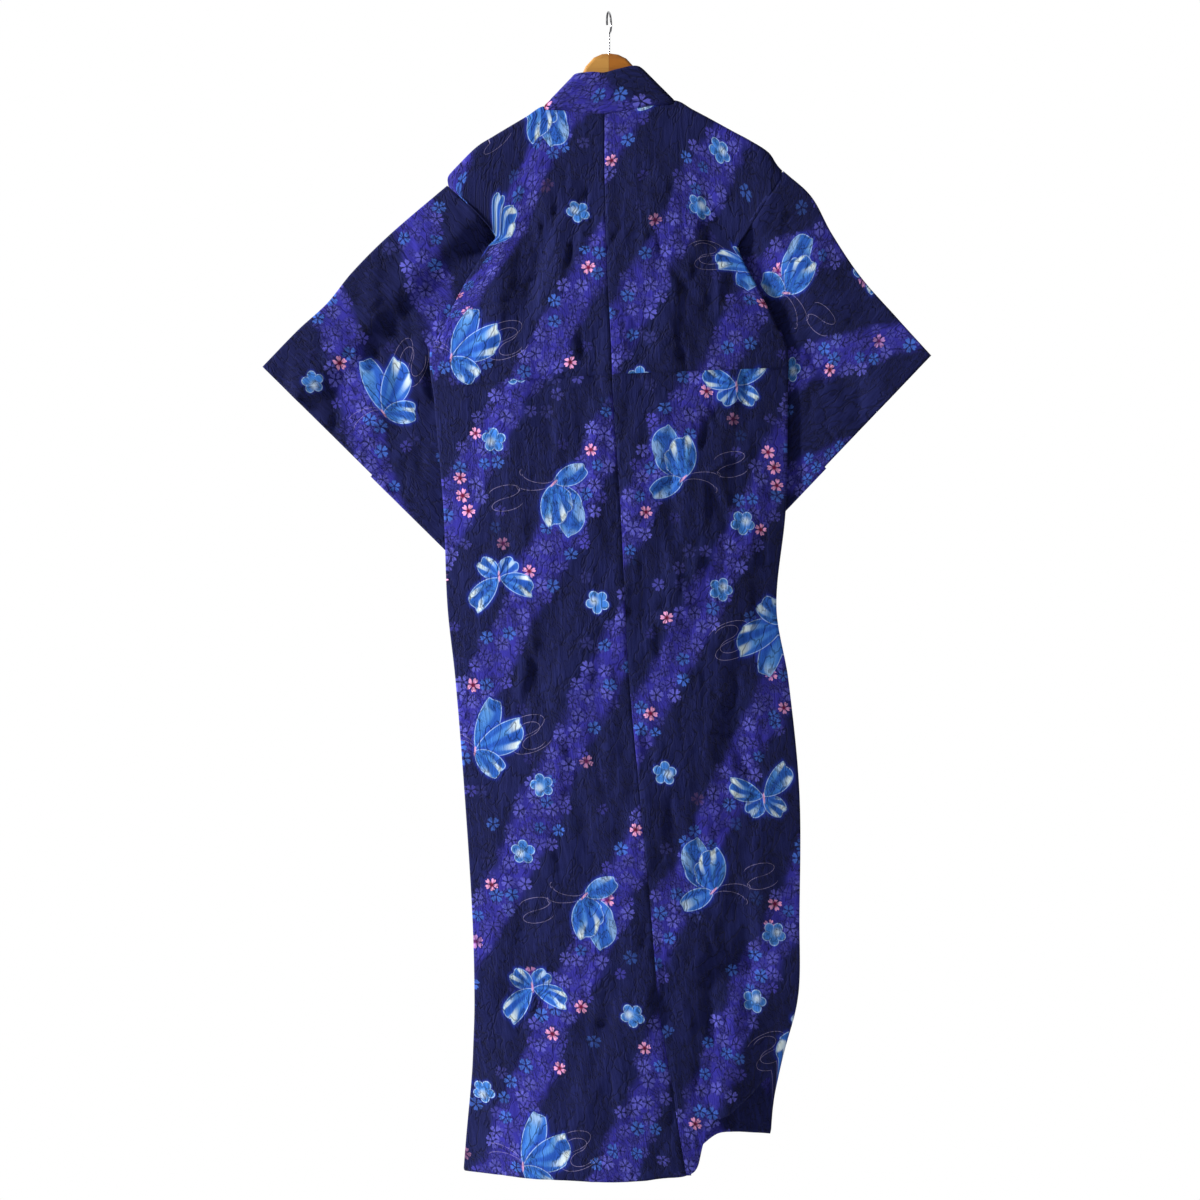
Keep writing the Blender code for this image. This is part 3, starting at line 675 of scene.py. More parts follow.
def collar_arm(side):
    """Rows of the collar from its lower end up to the shoulder."""
    z = mix(COLLAR_END, -170.0, np.linspace(0.0, 1.0, COLLAR_ROWS) ** 0.9)[:, None]
    run_x = collar_line(side, z + 10.0) - collar_line(side, z - 10.0)
    length = np.hypot(run_x, 20.0)
    out_x, out_z = 20.0 / length * -side, -run_x / length * -side
    off = COLLAR_WIDTH * np.linspace(0.0, 1.0, COLLAR_COLUMNS)[None]
    x, height = collar_line(side, z) + out_x * off, z + out_z * off
    depth = mix(9.5, front_depth(side, x, height), smoothstep(-150, -300, height))
    return stacked(x, depth, height)


def collar_neck(side):
    """Rows over the shoulder and round to the middle of the back of the neck."""
    shoulder_x, shoulder_z, radius = TOP[side][NECK_COLUMN]
    lower = [(shoulder_x - side * 3.0, radius + 1.0, shoulder_z - 9.0),
             (shoulder_x - side * 1.5, 0.0, shoulder_z + 1.5)]
    ends = list(COLLAR_TURN[side][::-1])
    for column in range(NECK_COLUMN, 0, -1):
        x, z, depth = TOP[side][column]
        rise = SEAM_GAP if column < NECK_COLUMN else -radius + 2.5
        inward = 0.0 if column < NECK_COLUMN else side * 2.0
        lower.append((x - inward, -depth, z + rise))
        ends.append(COLLAR_TOP[side][column])
    share = np.linspace(0.0, 1.0, COLLAR_COLUMNS)[None, :, None]
    return mix(np.array(lower, float)[:, None], np.array(ends, float)[:, None], share)


def smooth_rows(rows, between):
    """Rows read from a smooth curve through the given ones."""
    keys = np.arange(len(rows), dtype=float)
    at = np.linspace(0.0, keys[-1], (len(rows) - 1) * between + 1)
    flat = rows.reshape(len(rows), -1)
    made = [along(list(zip(keys, flat[:, i])), 1, at) for i in range(flat.shape[1])]
    return np.stack(made, axis=-1).reshape(len(at), *rows.shape[1:])


def make_collar(material):
    """One folded band: up the left front, round the neck and down the right front."""
    share = np.linspace(0.0, 1.0, COLLAR_COLUMNS)[:, None]
    low = np.array((-7.0, -TOP[-1][0][2], TOP[-1][0][1] + SEAM_GAP))
    middle = mix(low[None], np.array(COLLAR_TOP[-1][0], float)[None], share)[None]
    arm_left, arm_right = collar_arm(-1), collar_arm(1)[::-1]
    neck = np.concatenate([arm_left[-1:], collar_neck(-1), middle, collar_neck(1)[::-1],
                           arm_right[:1]])
    rows = np.concatenate([arm_left[:-1], smooth_rows(neck, 10), arm_right[1:]])
    centre = rows[:, rows.shape[1] // 2]
    steps = np.linalg.norm(np.diff(centre, axis=0), axis=1)
    run = np.concatenate([[0.0], np.cumsum(steps)])
    off = np.linspace(0.0, COLLAR_WIDTH, rows.shape[1])
    prints = stacked(COLLAR_PRINT + off[None], run[:, None])
    cloth = Cloth()
    cloth.grid(rows, prints)
    edge = rows[:, 0]
    out = edge - rows[:, 1]
    out = out / np.linalg.norm(out, axis=1)[:, None]
    inward = np.stack([np.zeros(len(edge)), -np.clip(edge[:, 1] / 8.0, -1.0, 1.0),
                       np.minimum(0.0, np.abs(edge[:, 1]) / 8.0 - 1.0)], axis=-1)
    add_allowance(cloth, edge, prints[:, 0], out, inward)
    return cloth.build("yukata_collar", COLLAR_WALL, material)


class Number:
    """A shader value that reads like a number in a formula."""

    def __init__(self, socket):
        self.socket, self.tree = socket, socket.id_data

    def math(self, operation, *others):
        inputs = dict(enumerate((self, *others)))
        return Number(add_node(self.tree, "Math", inputs, operation=operation).outputs[0])

    __add__ = partialmethod(math, "ADD")
    __sub__ = partialmethod(math, "SUBTRACT")
    __mul__ = partialmethod(math, "MULTIPLY")
    __truediv__ = partialmethod(math, "DIVIDE")
    __abs__ = partialmethod(math, "ABSOLUTE")
    least = partialmethod(math, "MAXIMUM")

    def step(self, low, high):
        """0 at low and 1 at high, smooth between, and the other way round if low > high."""
        inputs = {"Value": self, "From Min": low, "From Max": high}
        node = add_node(self.tree, "MapRange", inputs, interpolation_type="SMOOTHSTEP")
        return Number(node.outputs["Result"])


def feed(place, item):
    """Gives an input a value, a colour, a Number or another node's output."""
    if isinstance(item, Number):
        item = item.socket
    if isinstance(item, bpy.types.NodeSocket):
        place.id_data.links.new(item, place)
    elif isinstance(item, tuple) and len(item) == 3 and place.type == "RGBA":
        place.default_value = (*item, 1.0)
    else:
        place.default_value = item


def add_node(tree, kind, inputs=None, **settings):
    """A node with its settings, and with its inputs fed by name or number."""
    node = tree.nodes.new("ShaderNode" + kind)
    for name, value in settings.items():
        setattr(node, name, value)
    for place, item in (inputs or {}).items():
        feed(node.inputs[place], item)
    return node


def length_of(x, y):
    return (x * x + y * y).math("SQRT")


def srgb(*values):
    """A colour as a screen shows it, 0 to 255, in the linear values that nodes take."""
    shares = [value / 255.0 for value in values]
    return tuple(c / 12.92 if c <= 0.04045 else ((c + 0.055) / 1.055) ** 2.4 for c in shares)


def over(under, colour, share):
    """One colour laid over another, by a share that is a Number."""
    inputs = {0: share, 6: under, 7: colour}
    return add_node(share.tree, "Mix", inputs, data_type="RGBA").outputs[2]


def split(vector):
    node = add_node(vector.id_data, "SeparateXYZ", {0: vector})
    return Number(node.outputs[0]), Number(node.outputs[1])


def join(x, y):
    return add_node(x.tree, "CombineXYZ", {0: x, 1: y}).outputs[0]


def slanted(x, y, rows):
    """A place turned and scaled, so that a noise read there runs at a slant."""
    return join(*(x * by_x + y * by_y for by_x, by_y in rows))


def noise_at(vector, scale, detail=2.0, roughness=0.5, dimensions="2D"):
    inputs = {"Vector": vector, "Scale": scale, "Detail": detail, "Roughness": roughness}
    node = add_node(vector.id_data, "TexNoise", inputs, noise_dimensions=dimensions)
    return Number(node.outputs[0])


def vector_math(operation, first, second, output=0):
    inputs = {0: first, 1: second}
    return add_node(first.id_data, "VectorMath", inputs, operation=operation).outputs[output]


# Inputs and outputs of the node groups that aren't plain numbers
SOCKETS = {"Place": "NodeSocketVector", "Centre": "NodeSocketVector",
           "Along": "NodeSocketVector", "Across": "NodeSocketVector",
           "Under": "NodeSocketColor", "Colour": "NodeSocketColor"}


def new_group(name, inputs, output="Colour"):
    """An empty node group's inputs by name."""
    tree = bpy.data.node_groups.new(name, "ShaderNodeTree")
    for side, names in (("INPUT", inputs), ("OUTPUT", (output,))):
        for item in names:
            kind = SOCKETS.get(item, "NodeSocketFloat")
            tree.interface.new_socket(item, in_out=side, socket_type=kind)
    sockets = tree.nodes.new("NodeGroupInput").outputs
    return SimpleNamespace(**{item: sockets[item] if item in SOCKETS else Number(sockets[item])
                              for item in inputs})


def new_motif(name, *sizes):
    return new_group(name, ("Place", "Under", "Centre", "Along", "Across", *sizes))


def close_group(item):
    """The finished group, which gives out one colour or Number."""
    tree = getattr(item, "socket", item).id_data
    feed(tree.nodes.new("NodeGroupOutput").inputs[0], item)
    return tree


def call(group, **values):
    return add_node(values["Place"].id_data, "Group", values, node_tree=group).outputs[0]


def local_place(v):
    """Millimetres along and across a motif, from its centre."""
    moved = vector_math("SUBTRACT", v.Place, v.Centre)
    return [Number(vector_math("DOT_PRODUCT", moved, way, "Value"))
            for way in (v.Along, v.Across)]


# Colours of the print, with a lighter and a darker navy that paint light and shade on the
# cloth
NAVY = srgb(18, 23, 74)
# Painted light: a lighter navy laid on the crinkles' tops
NAVY_PAINTED_LIGHT = srgb(32, 38, 100)
# Painted shade: a darker navy laid along the creases and crinkle ridges
NAVY_PAINTED_SHADE = srgb(8, 9, 34)
BAND_COLOUR = srgb(56, 52, 168)
VIOLET = srgb(104, 104, 214)
DIM_VIOLET = srgb(76, 72, 184)
BRIGHT_BLUE = srgb(70, 122, 226)
PINK = srgb(250, 172, 222)
MAGENTA = srgb(120, 6, 56)
WING_DEEP = srgb(38, 88, 190)
WING_MIDDLE = srgb(58, 124, 218)
WING_LIGHT = srgb(112, 176, 238)
WING_WHITE = srgb(232, 246, 250)
LINE_COLOUR = srgb(176, 206, 248)
GLOW_COLOUR = srgb(40, 64, 200)
WATER_COLOUR = srgb(190, 176, 222)
BODY_COLOUR = srgb(226, 170, 218)

# Colours of the hanger
# Painted light and shade: a lighter wood for the hanger's left half and a darker one for its
# right half
WOOD_PAINTED_LIGHT = srgb(204, 148, 72)
WOOD_PAINTED_SHADE = srgb(178, 108, 30)
WOOD_GRAIN = srgb(150, 92, 40)
STEEL_LIGHT = srgb(190, 190, 194)
STEEL_DARK = srgb(120, 122, 126)


# How motifs are painted, in mm: how soft an edge is, where the outline's middle lies inside
# it, and the reach of the glow round it
SOFT_EDGE = 0.3
LINE_INSIDE = 0.4
GLOW_STRENGTH = 0.6
WING_GLOW = 9.0
PLUM_GLOW = 7.0
# How a wing's edges run into each other and how deep its scallops are, in mm
CORNER_ROUND = 5.0
MARGIN_ROUND = 2.4
SCALLOP_OUT = 2.2
SCALLOP_DEPTH = 3.8
WAVE_START = 1.57            # radians, so that veins and scallops fall together
BODY_HALF_WIDTH = 1.7
LINE_STRENGTH = 0.62

# Violet bands
BAND_STEP = 311.5            # mm down the cloth from one band to the next
BAND_START = 169.0
BAND_SLOPE = 1.73
BAND_LEAN = 0.5              # share of the way down that lies across a band
BAND_WANDER = 46.0
BAND_WANDER_SCALE = 0.011
BAND_WIDTH_SCALE = 0.019
BAND_STRENGTH = 0.84

# Cherry blossoms: dim ones close together in the bands, then larger ones that spill over
BLOSSOMS = (
    {"Cell": 17.5, "Radius": 8.0, "Spill": 0.0, "Strength": 0.45, "Pale": 0.0},
    {"Cell": 25.0, "Radius": 10.2, "Spill": 0.325, "Strength": 0.92, "Pale": 1.0},
)
BLOSSOM_SCATTER = 0.72
BLOSSOM_TURN = 6.28


def arc_to(chord, bulge):
    """Where the centre of an arc over a chord lies off it, and the arc's radius."""
    off = ((chord / 2.0) ** 2 - bulge ** 2) / (2.0 * bulge)
    return off, off + bulge


def placed(centre, angle, flip=1.0, **sizes):
    """What a motif's group takes: its centre, the unit vectors along and across it at an
    angle in degrees clockwise, and its sizes."""
    cosine, sine = math.cos(math.radians(angle)), math.sin(math.radians(angle))
    return {"Centre": (*centre, 0.0), "Along": (cosine, sine, 0.0),
            "Across": (-sine * flip, cosine * flip, 0.0),
            **{name: float(size) for name, size in sizes.items()}}


def wing_values(root, angle, length, lead, trail, chord, blunt, skew, scallops, white):
    """A wing as three arcs: two edges that leave the root and one scalloped margin.

    A negative length mirrors the wing, so its leading edge is on the other hand."""
    flip = math.copysign(1.0, length)
    length = abs(length)
    lead_off, lead_radius = arc_to(chord * length, lead)
    trail_off, trail_radius = arc_to(chord * length, trail)
    radius = blunt * length
    return placed(root, angle, flip, Length=length, Half=chord * length / 2.0,
                  LeadOff=lead_off, LeadRadius=lead_radius, TrailOff=trail_off,
                  TrailRadius=trail_radius, MarginAt=length - radius, MarginOff=-skew * length,
                  MarginRadius=radius * math.hypot(1.0, skew / blunt),
                  Scallops=scallops, White=white)


def painted(v, colour, edge, glow, line, strength):
    """A motif laid over the cloth inside its edge, with a glow and a pale outline."""
    shine = edge.step(glow, -1.0)
    out = over(v.Under, GLOW_COLOUR, shine * shine * GLOW_STRENGTH)
    out = over(out, colour, edge.step(SOFT_EDGE, -SOFT_EDGE))
    return close_group(over(out, LINE_COLOUR, abs(edge + LINE_INSIDE).step(*line) * strength))


def wing_group():
    """One butterfly wing, with light streaks between its veins and a glow round it."""
    v = new_motif("butterfly wing", "Grain", "Length", "Half", "LeadOff", "LeadRadius",
                  "TrailOff", "TrailRadius", "MarginAt", "MarginOff", "MarginRadius",
                  "Scallops", "White")
    x, y = local_place(v)
    from_half = x - v.Half
    lead = length_of(from_half, y - v.LeadOff) - v.LeadRadius
    trail = length_of(from_half, y + v.TrailOff) - v.TrailRadius
    angle = y.math("ARCTAN2", x + v.Length * 0.12)
    lobes = abs((angle * v.Scallops).math("SINE"))
    margin = length_of(x - v.MarginAt, y - v.MarginOff) - v.MarginRadius
    margin = margin + SCALLOP_OUT - lobes * SCALLOP_DEPTH
    edge = lead.math("SMOOTH_MAX", trail, CORNER_ROUND)
    edge = edge.math("SMOOTH_MAX", margin, MARGIN_ROUND)
    u = x / v.Length
    wave = (angle * v.Scallops * 2.0 + v.Grain * 2.2 + WAVE_START).math("SINE")
    light = wave.step(-0.9, 0.9) * 0.7 + edge.step(-9.0, -0.5) * 0.4
    colour = over(WING_DEEP, WING_MIDDLE, light + v.Grain * 0.2)
    soft = wave.step(-0.4, 1.0) * u.step(0.2, 0.8)
    colour = over(colour, WING_LIGHT, soft * 0.55)
    streak = wave.step(-0.1, 0.75) * margin.step(-24.0, -4.0) * edge.step(-0.6, -2.2)
    colour = over(colour, WING_WHITE, streak * v.White * u.step(0.3, 0.7))
    return painted(v, colour, edge, WING_GLOW, (0.85, 0.3), 0.8)


def plum_group():
    """A blossom of five round petals, drawn in light blue with a white edge."""
    v = new_motif("plum blossom", "Radius")
    x, y = local_place(v)
    lobe = abs((y.math("ARCTAN2", x) * 2.5).math("COSINE"))
    radius = v.Radius * (lobe.math("POWER", 0.75) * 0.36 + 0.64)
    distance = length_of(x, y)
    edge = distance - radius
    share = distance / v.Radius
    light = edge.step(-7.0, 0.0) * 0.35 + share.step(0.6, 0.0) * 0.45
    colour = over(WING_MIDDLE, WING_LIGHT, light)
    centre = length_of(x - 4.0, y + 4.0).step(10.0, 0.0)
    colour = over(colour, WING_WHITE, centre * 0.7)
    between = lobe.step(0.14, 0.03) * share.step(0.3, 0.55) * 0.55
    colour = over(colour, LINE_COLOUR, between)
    return painted(v, colour, edge, PLUM_GLOW, (1.0, 0.4), 0.9)


def body_group():
    """A butterfly's slim pink body."""
    v = new_motif("butterfly body", "Length")
    x, y = local_place(v)
    off = length_of(x / v.Length, y / BODY_HALF_WIDTH)
    return close_group(over(v.Under, BODY_COLOUR, off.step(1.15, 0.7)))


def curve_group():
    """A thin line along part of an ellipse, which thins out towards both its ends."""
    v = new_motif("thin curve", "Length", "Width", "Middle", "Reach")
    x, y = local_place(v)
    u, w = x / v.Length, y / v.Width
    q = length_of(u, w).least(0.01)
    steep = length_of(u / v.Length, w / v.Width).least(0.0001)
    off = abs(q * (q - 1.0) / steep)
    turn = (w.math("ARCTAN2", u) - v.Middle + math.pi).math("FLOORED_MODULO", math.tau)
    along_line = abs(turn - math.pi)
    shown = along_line.step(v.Reach, v.Reach * 0.8) * 0.5
    shown = shown + along_line.step(v.Reach, v.Reach - 0.02) * 0.5
    share = off.step(0.42, 0.05) * shown * LINE_STRENGTH
    return close_group(over(v.Under, WATER_COLOUR, share))


def band_group():
    """Share of the soft violet bands that cross the cloth at a slant."""
    v = new_group("violet band", ("Place",), "Share")
    x, y = split(v.Place)
    wander = (noise_at(v.Place, BAND_WANDER_SCALE) - 0.5) * BAND_WANDER
    shifted = x * BAND_SLOPE + y + wander + (BAND_STEP / 2 - BAND_START)
    off = abs(shifted.math("FLOORED_MODULO", BAND_STEP) - BAND_STEP / 2) * BAND_LEAN
    width = noise_at(v.Place, BAND_WIDTH_SCALE) * 24.0 + 12.0
    return close_group((off - width).step(11.0, -9.0))


def blossom_group(band):
    """Small cherry blossoms of five notched petals, strewn where the bands run."""
    v = new_group("cherry blossoms", ("Place", "Under", *BLOSSOMS[0]))
    x, y = split(v.Place)
    inputs = {"Vector": join(x / v.Cell, y / v.Cell), "Randomness": BLOSSOM_SCATTER,
              "Scale": 1.0}
    cell = add_node(x.tree, "TexVoronoi", inputs, voronoi_dimensions="2D").outputs
    at_x, at_y = split(cell["Position"])
    at_x, at_y = at_x * v.Cell, at_y * v.Cell
    draws = add_node(x.tree, "SeparateColor", {0: cell["Color"]}).outputs
    first, second, third = (Number(socket) for socket in draws)
    size = v.Radius * (third * 0.25 + 0.85)
    x, y = x - at_x, y - at_y
    distance = length_of(x, y)
    petal = ((y.math("ARCTAN2", x) + first * BLOSSOM_TURN) * 5.0).math("COSINE")
    tip = size * (petal.step(-1.0, 0.5) * 0.26 + 0.76 - petal.step(0.75, 1.0) * 0.13)
    inside = (distance - tip).step(0.4, -0.4)
    shape = inside * petal.step(-0.72, -0.4) * distance.step(size * 0.12, size * 0.3)
    here = Number(call(band, Place=join(at_x, at_y)))
    near = (here + v.Spill * (second * 0.8 + 0.2)).step(0.30, 0.34)
    pink = (first * 7.31 + second).math("FRACT").step(0.895, 0.9) * v.Pale
    blue = (second * 5.17 + third).math("FRACT").step(0.7, 0.72)
    colour = over(DIM_VIOLET, VIOLET, third.step(0.1, 0.7) * v.Strength)
    colour = over(colour, BRIGHT_BLUE, blue * v.Pale * 0.85)
    inward = distance.step(size * 0.7, size * 0.15)
    pale = over(PINK, MAGENTA, inward * inward)
    colour = over(colour, pale, pink)
    out = over(v.Under, NAVY, inside * near * (v.Strength * 0.35 + 0.35))
    heart = distance.step(size * 0.62, size * 0.1) * near * pink
    out = over(out, MAGENTA, heart * 0.9)
    dim = (second * 3.7 + first).math("FRACT") * 0.35 + 0.65
    share = shape * near * (v.Strength * dim).least(pink)
    return close_group(over(out, colour, share))


# Print motifs: place across and down the cloth in mm, angle in degrees clockwise.
# The repeat is 623 mm long, and the list starts and ends in the bare cloth between.
REPEAT = 623.0
REPEAT_START = -15.0
PLUMS = (
    (184, 151, 20, 18.5), (146, 252, 5, 18.0), (41, 529, 60, 18.0), (286, 411, -20, 17.0),
)
# Butterflies: the place of the body, then each wing from the hindmost to the foremost as
# angle, length, lead, trail, chord, blunt, skew, scallops and white
BUTTERFLIES = (
    ((188, 566), (
        (133, 36, 15, 15, 1.15, 0.50, 0.0, 7, 0.5),
        (42, 38, 15, 15, 1.15, 0.50, 0.0, 7, 0.9),
        (-156, -54, 12, 20, 1.30, 0.75, 0.18, 9, 1.0),
        (-50, 62, 12, 20, 1.30, 0.75, 0.18, 9, 1.0),
    )),
    ((99, 85), (
        (-106, -84, 14, 36, 1.12, 0.50, 0.12, 6, 0.25),
        (-88, -64, 20, 34, 1.16, 0.62, 0.22, 8, 1.0),
        (155, 57, 14, 16, 1.12, 0.45, 0.0, 5, 0.6),
    )),
    ((243, 304), (
        (114, 87, 12, 22, 1.16, 0.50, 0.0, 6, 0.35),
        (150, 86, 14, 30, 1.20, 0.62, 0.22, 9, 1.0),
        (-138, 50, 18, 18, 1.25, 0.60, 0.0, 6, 0.8),
    )),
)
# Butterfly bodies: across, down, angle, length
BODIES = ((188, 568, 88, 9.0), (98, 85, -45, 8.5), (243, 303, 100, 8.0))
# Feelers: across, down, angle, length, width, middle and reach of the part shown
FEELERS = (
    (124, 84, -6, 27, 9, -100, 84), (121, 96, 10, 24, 10, -95, 92),
    (150, 79, 60, 5, 4, -80, 70), (144, 101, 70, 5, 4, -60, 70),
    (268, 312, 190, 25, 9, -92, 80), (266, 322, 205, 24, 8, -92, 78),
    (178, 549, -118, 16, 8, -60, 60), (204, 548, -75, 15, 7, -120, 60),
)
# Flowing water: across, down, angle, half length, the half height of each bend, and
# how far the ends run on
WATERS = (
    (159, 329, -22, 33, 13.5, 62), (155, 327, -22, 19, 10.0, 58),
    (172, 63, -12, 24, 9.5, 75),
)


def curves():
    """Every thin line as place, angle, length, width, middle and reach.

    Water runs in along the far side of one ellipse, round its end, back between the
    two, and round the other end and out along the far side of the second one."""
    for *centre, angle, length, width, middle, reach in FEELERS:
        yield centre, angle, length, width, middle, reach
    for across_at, down_at, angle, length, width, run in WATERS:
        turn = math.radians(angle)
        for way in (-1.0, 1.0):
            centre = (across_at - way * width * math.sin(turn),
                      down_at + way * width * math.cos(turn))
            first, last = -90.0 - run, 90.0
            middle, reach = (first + last) / 2.0, (last - first) / 2.0
            yield centre, angle + (180.0 if way > 0 else 0.0), length, width, middle, reach


def motif_calls():
    """Each motif as its node group and the values that the group takes, in paint order."""
    for centre, angle, length, width, middle, reach in curves():
        yield "curve", placed(centre, angle, Length=length, Width=width,
                              Middle=math.radians(middle), Reach=math.radians(reach))
    for *centre, angle, radius in PLUMS:
        yield "plum", placed(centre, angle, Radius=radius)
    for root, wings in BUTTERFLIES:
        for wing in wings:
            yield "wing", wing_values(root, *wing)
    for *centre, angle, length in BODIES:
        yield "body", placed(centre, angle, Length=length)


def draw_motifs(place, grain, colour):
    """Lays the repeat's motifs over the ground colour.

    A renderer has room for few values at once, so each motif's place takes in the colour
    below it, cut to nothing, and is worked out only when that motif's turn comes."""
    groups = {"wing": wing_group(), "plum": plum_group(), "curve": curve_group(),
              "body": body_group()}
    x, y = split(place)
    wrapped = (y - REPEAT_START).math("FLOORED_MODULO", REPEAT) + REPEAT_START
    place = join(x, wrapped)
    for kind, values in motif_calls():
        if kind == "wing":
            values["Grain"] = grain
        nothing = vector_math("MINIMUM", colour, (0.0, 0.0, 0.0))
        values["Place"] = vector_math("ADD", place, nothing)
        colour = call(groups[kind], Under=colour, **values)
    return colour


# The cloth's surface. Scales are noise cells for each mm, across and down the cloth, and a
# slanted one has a row for each of the two.
CRINKLE_SCALE = (0.16, 0.022)
WHERE_SCALE = 0.013
SLANT_SCALE = ((0.05, 0.024), (-0.013, 0.02))
SHORT_SCALE = ((0.10, -0.06), (0.04, 0.05))
RIDGE_WIDTH = 0.075
SLANT_WIDTH = 0.045
SHORT_WIDTH = 0.06
WEAVE = math.tau / 0.55      # radians for each mm, threads 0.55 mm apart
BUMP_DEPTH = 0.0016
COTTON = {"Roughness": 0.78, "Specular IOR Level": 0.12, "Sheen Weight": 0.04,
          "Sheen Roughness": 0.5}

# The hanger, with its grain's noise cells for each metre
WOOD = {"Roughness": 0.42, "Coat Weight": 0.5, "Coat Roughness": 0.2}
WOOD_SCALE = (9.0, 60.0, 130.0)
STEEL = {"Metallic": 1.0, "Roughness": 0.24}
STEEL_SCALE = 900.0


def printed_cotton():
    """Crinkled cotton with the print, with painted light on the crinkles' tops and painted
    shade in their lows and in the creases.
    """
    material, shader = new_material("printed cotton", COTTON)
    tree = shader.id_data
    uv = add_node(tree, "UVMap", uv_map="print").outputs[0]
    inputs = {0: uv, "Scale": 1.0 / MM}
    place = add_node(tree, "VectorMath", inputs, operation="SCALE").outputs[0]
    x, y = split(place)

    crinkle = noise_at(join(x * CRINKLE_SCALE[0], y * CRINKLE_SCALE[1]), 1.0, 3.0, 0.62)
    ridge = abs(crinkle - 0.5).step(RIDGE_WIDTH, 0.0)
    where = noise_at(place, WHERE_SCALE)
    slant = noise_at(slanted(x, y, SLANT_SCALE), 1.0)
    crease = abs(slant - 0.5).step(SLANT_WIDTH, 0.0) * where.step(0.40, 0.54)
    short = noise_at(slanted(x, y, SHORT_SCALE), 1.0)
    crease = crease + abs(short - 0.57).step(SHORT_WIDTH, 0.0) * where.step(0.60, 0.48) * 0.8
    weave = (x * WEAVE).math("SINE") * (y * WEAVE).math("SINE")
    # Where the crinkle ridges are cut deeper and get painted shade; the same field is the
    # wings' grain
    ridge_shade_and_grain = where.step(0.62, 0.4)

    # Painted light and shade: the navy is lighter on the crinkles' tops and stays darker in
    # their lows, with the thread weave mixed in
    colour = over(NAVY, NAVY_PAINTED_LIGHT, crinkle.step(0.3, 0.75) * 0.5 + weave * 0.12)
    band = band_group()
    share = Number(call(band, Place=place))
    colour = over(colour, BAND_COLOUR, share * BAND_STRENGTH)
    blossoms = blossom_group(band)
    for sizes in BLOSSOMS:
        colour = call(blossoms, Place=place, Under=colour, **sizes)
    colour = draw_motifs(place, ridge_shade_and_grain, colour)
    # Painted shade: a darker navy along the creases and, where marked, the crinkle ridges
    colour = over(colour, NAVY_PAINTED_SHADE, crease * 0.5 + ridge * ridge_shade_and_grain * 0.3)
    feed(shader.inputs["Base Color"], colour)

    height = crinkle * 1.15 - ridge * ridge_shade_and_grain * 0.4 - crease * 0.75 + weave * 0.05
    inputs = {"Strength": 1.0, "Distance": BUMP_DEPTH, "Height": height}
    feed(shader.inputs["Normal"], add_node(tree, "Bump", inputs).outputs[0])
    return material


def new_material(name, values):
    """A material, and its shader with constant values on the shader's own sockets."""
    material = bpy.data.materials.new(name)
    material.use_nodes = True
    shader = material.node_tree.nodes["Principled BSDF"]
    for socket, value in values.items():
        feed(shader.inputs[socket], value)
    return material, shader


def hanger_wood():
    """Varnished wood with a long grain, with painted light on the half left of the joint in
    the middle and painted shade on the right half.
    """
    material, shader = new_material("varnished wood", WOOD)
    where = add_node(shader.id_data, "TexCoord").outputs["Object"]
    inputs = {"Vector": where, "Scale": WOOD_SCALE}
    spread = add_node(shader.id_data, "Mapping", inputs).outputs[0]
    grain = noise_at(spread, 1.0, 4.0, 0.6, "3D")
    x, _ = split(where)
    pale = over(WOOD_PAINTED_LIGHT, WOOD_GRAIN, grain.step(0.45, 0.7) * 0.55)
    deep = over(WOOD_PAINTED_SHADE, WOOD_GRAIN, grain.step(0.4, 0.65) * 0.6)
    # Painted light and shade: the left half lighter, the right half darker
    colour = over(pale, deep, x.step(-0.0006, 0.0006))
    joint = abs(x).step(0.0008, 0.0003)
    feed(shader.inputs["Base Color"], over(colour, WOOD_GRAIN, joint * 0.8))
    return material


def hook_steel():
    """Bright plated wire with faint draw marks."""
    material, shader = new_material("plated steel", STEEL)
    where = add_node(shader.id_data, "TexCoord").outputs["Object"]
    marks = noise_at(where, STEEL_SCALE, 2.0, 0.5, "3D")
    feed(shader.inputs["Base Color"], over(STEEL_DARK, STEEL_LIGHT, marks))
    return material


def dress_hanger():
    for name, material in (("hanger", hanger_wood()), ("hanger_hook", hook_steel())):
        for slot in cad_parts[name].material_slots:
            slot.material = material


# The photograph's view, in metres and millimetres of lens and sensor
CAMERA_PLACE = (-0.0137, -4.0, -0.891)
LENS = 79.0
SENSOR = 36.0
# The floor in metres
FLOOR_HEIGHT = -1.95
FLOOR_CORNERS = ((-3.0, -3.0), (3.0, -3.0), (3.0, 0.6), (-3.0, 0.6))
FLOOR_PAINT = {"Base Color": (0.85, 0.85, 0.85), "Roughness": 0.9}
# Brightness of the studio's far wall, in front of the robe, and of the rest of the room
WALL_LIGHT = 1.0
ROOM_LIGHT = 0.11
# Softboxes: name, place, watts and size, all aimed at the middle of the robe
LIGHTS = (("key", (-5.0, -1.7, 1.6), 560, 0.7), ("fill", (3.0, -3.4, 0.6), 14, 2.0))
ROBE_MIDDLE = (0.0, 0.0, -0.9)


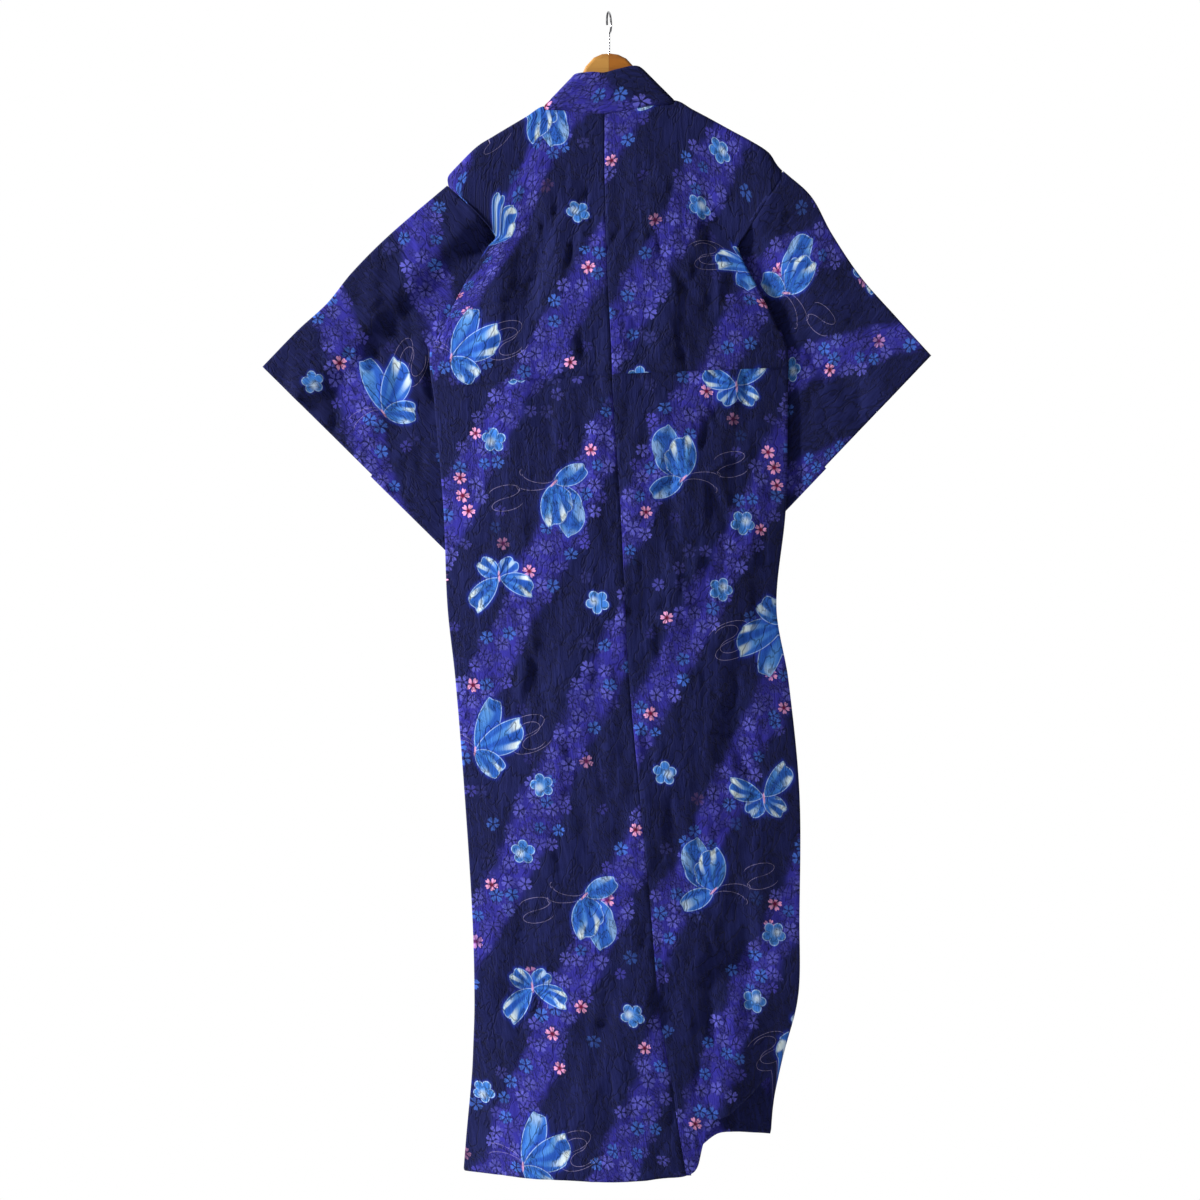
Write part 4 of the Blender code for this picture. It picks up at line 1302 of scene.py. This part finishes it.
def make_camera():
    camera = bpy.data.objects.new("camera", bpy.data.cameras.new("camera"))
    bpy.context.collection.objects.link(camera)
    camera.location = CAMERA_PLACE
    camera.rotation_euler = (math.radians(90), 0.0, 0.0)
    camera.data.lens = LENS
    camera.data.sensor_width = SENSOR
    bpy.context.scene.camera = camera


def make_stage():
    """A plain pale floor below the robe."""
    mesh = bpy.data.meshes.new("floor")
    corners = [(x, y, FLOOR_HEIGHT) for x, y in FLOOR_CORNERS]
    mesh.from_pydata(corners, [], [tuple(range(len(corners)))])
    mesh.materials.append(new_material("floor paint", FLOOR_PAINT)[0])
    floor = bpy.data.objects.new("floor", mesh)
    bpy.context.collection.objects.link(floor)


def make_lights():
    """A room that is bright towards the robe's front, and two softboxes."""
    world = bpy.data.worlds.new("studio")
    world.use_nodes = True
    tree = world.node_tree
    _, towards_wall = split(add_node(tree, "TexCoord").outputs["Generated"])
    light = towards_wall.step(0.2, 0.8) * (WALL_LIGHT - ROOM_LIGHT) + ROOM_LIGHT
    feed(tree.nodes["Background"].inputs["Strength"], light)
    feed(tree.nodes["Background"].inputs["Color"], (1.0, 1.0, 1.0))
    bpy.context.scene.world = world
    bpy.context.scene.view_settings.view_transform = "Standard"
    for name, place, power, size in LIGHTS:
        data = bpy.data.lights.new(name, "AREA")
        data.energy = power
        data.size = size
        lamp = bpy.data.objects.new(name, data)
        lamp.location = place
        way = Vector(ROBE_MIDDLE) - Vector(place)
        lamp.rotation_euler = way.to_track_quat("-Z", "Y").to_euler()
        bpy.context.collection.objects.link(lamp)


def declare(piece, nodes):
    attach(piece, "root")
    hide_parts(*nodes)


def make_robe():
    cotton = printed_cotton()
    for side, name in SIDES.items():
        piece = make_body(side, cotton)
        nodes = [f"body_{name}_back", f"body_{name}_front"]
        declare(piece, nodes)
        piece = make_okumi(side, cotton)
        declare(piece, [f"okumi_{name}"])
    for name in SLEEVES:
        piece = make_sleeve(name, cotton)
        nodes = [f"sleeve_{name}_back", f"sleeve_{name}_front"]
        declare(piece, nodes)
    piece = make_collar(cotton)
    declare(piece, ["collar"])


make_camera()
make_stage()
make_lights()
make_robe()
dress_hanger()
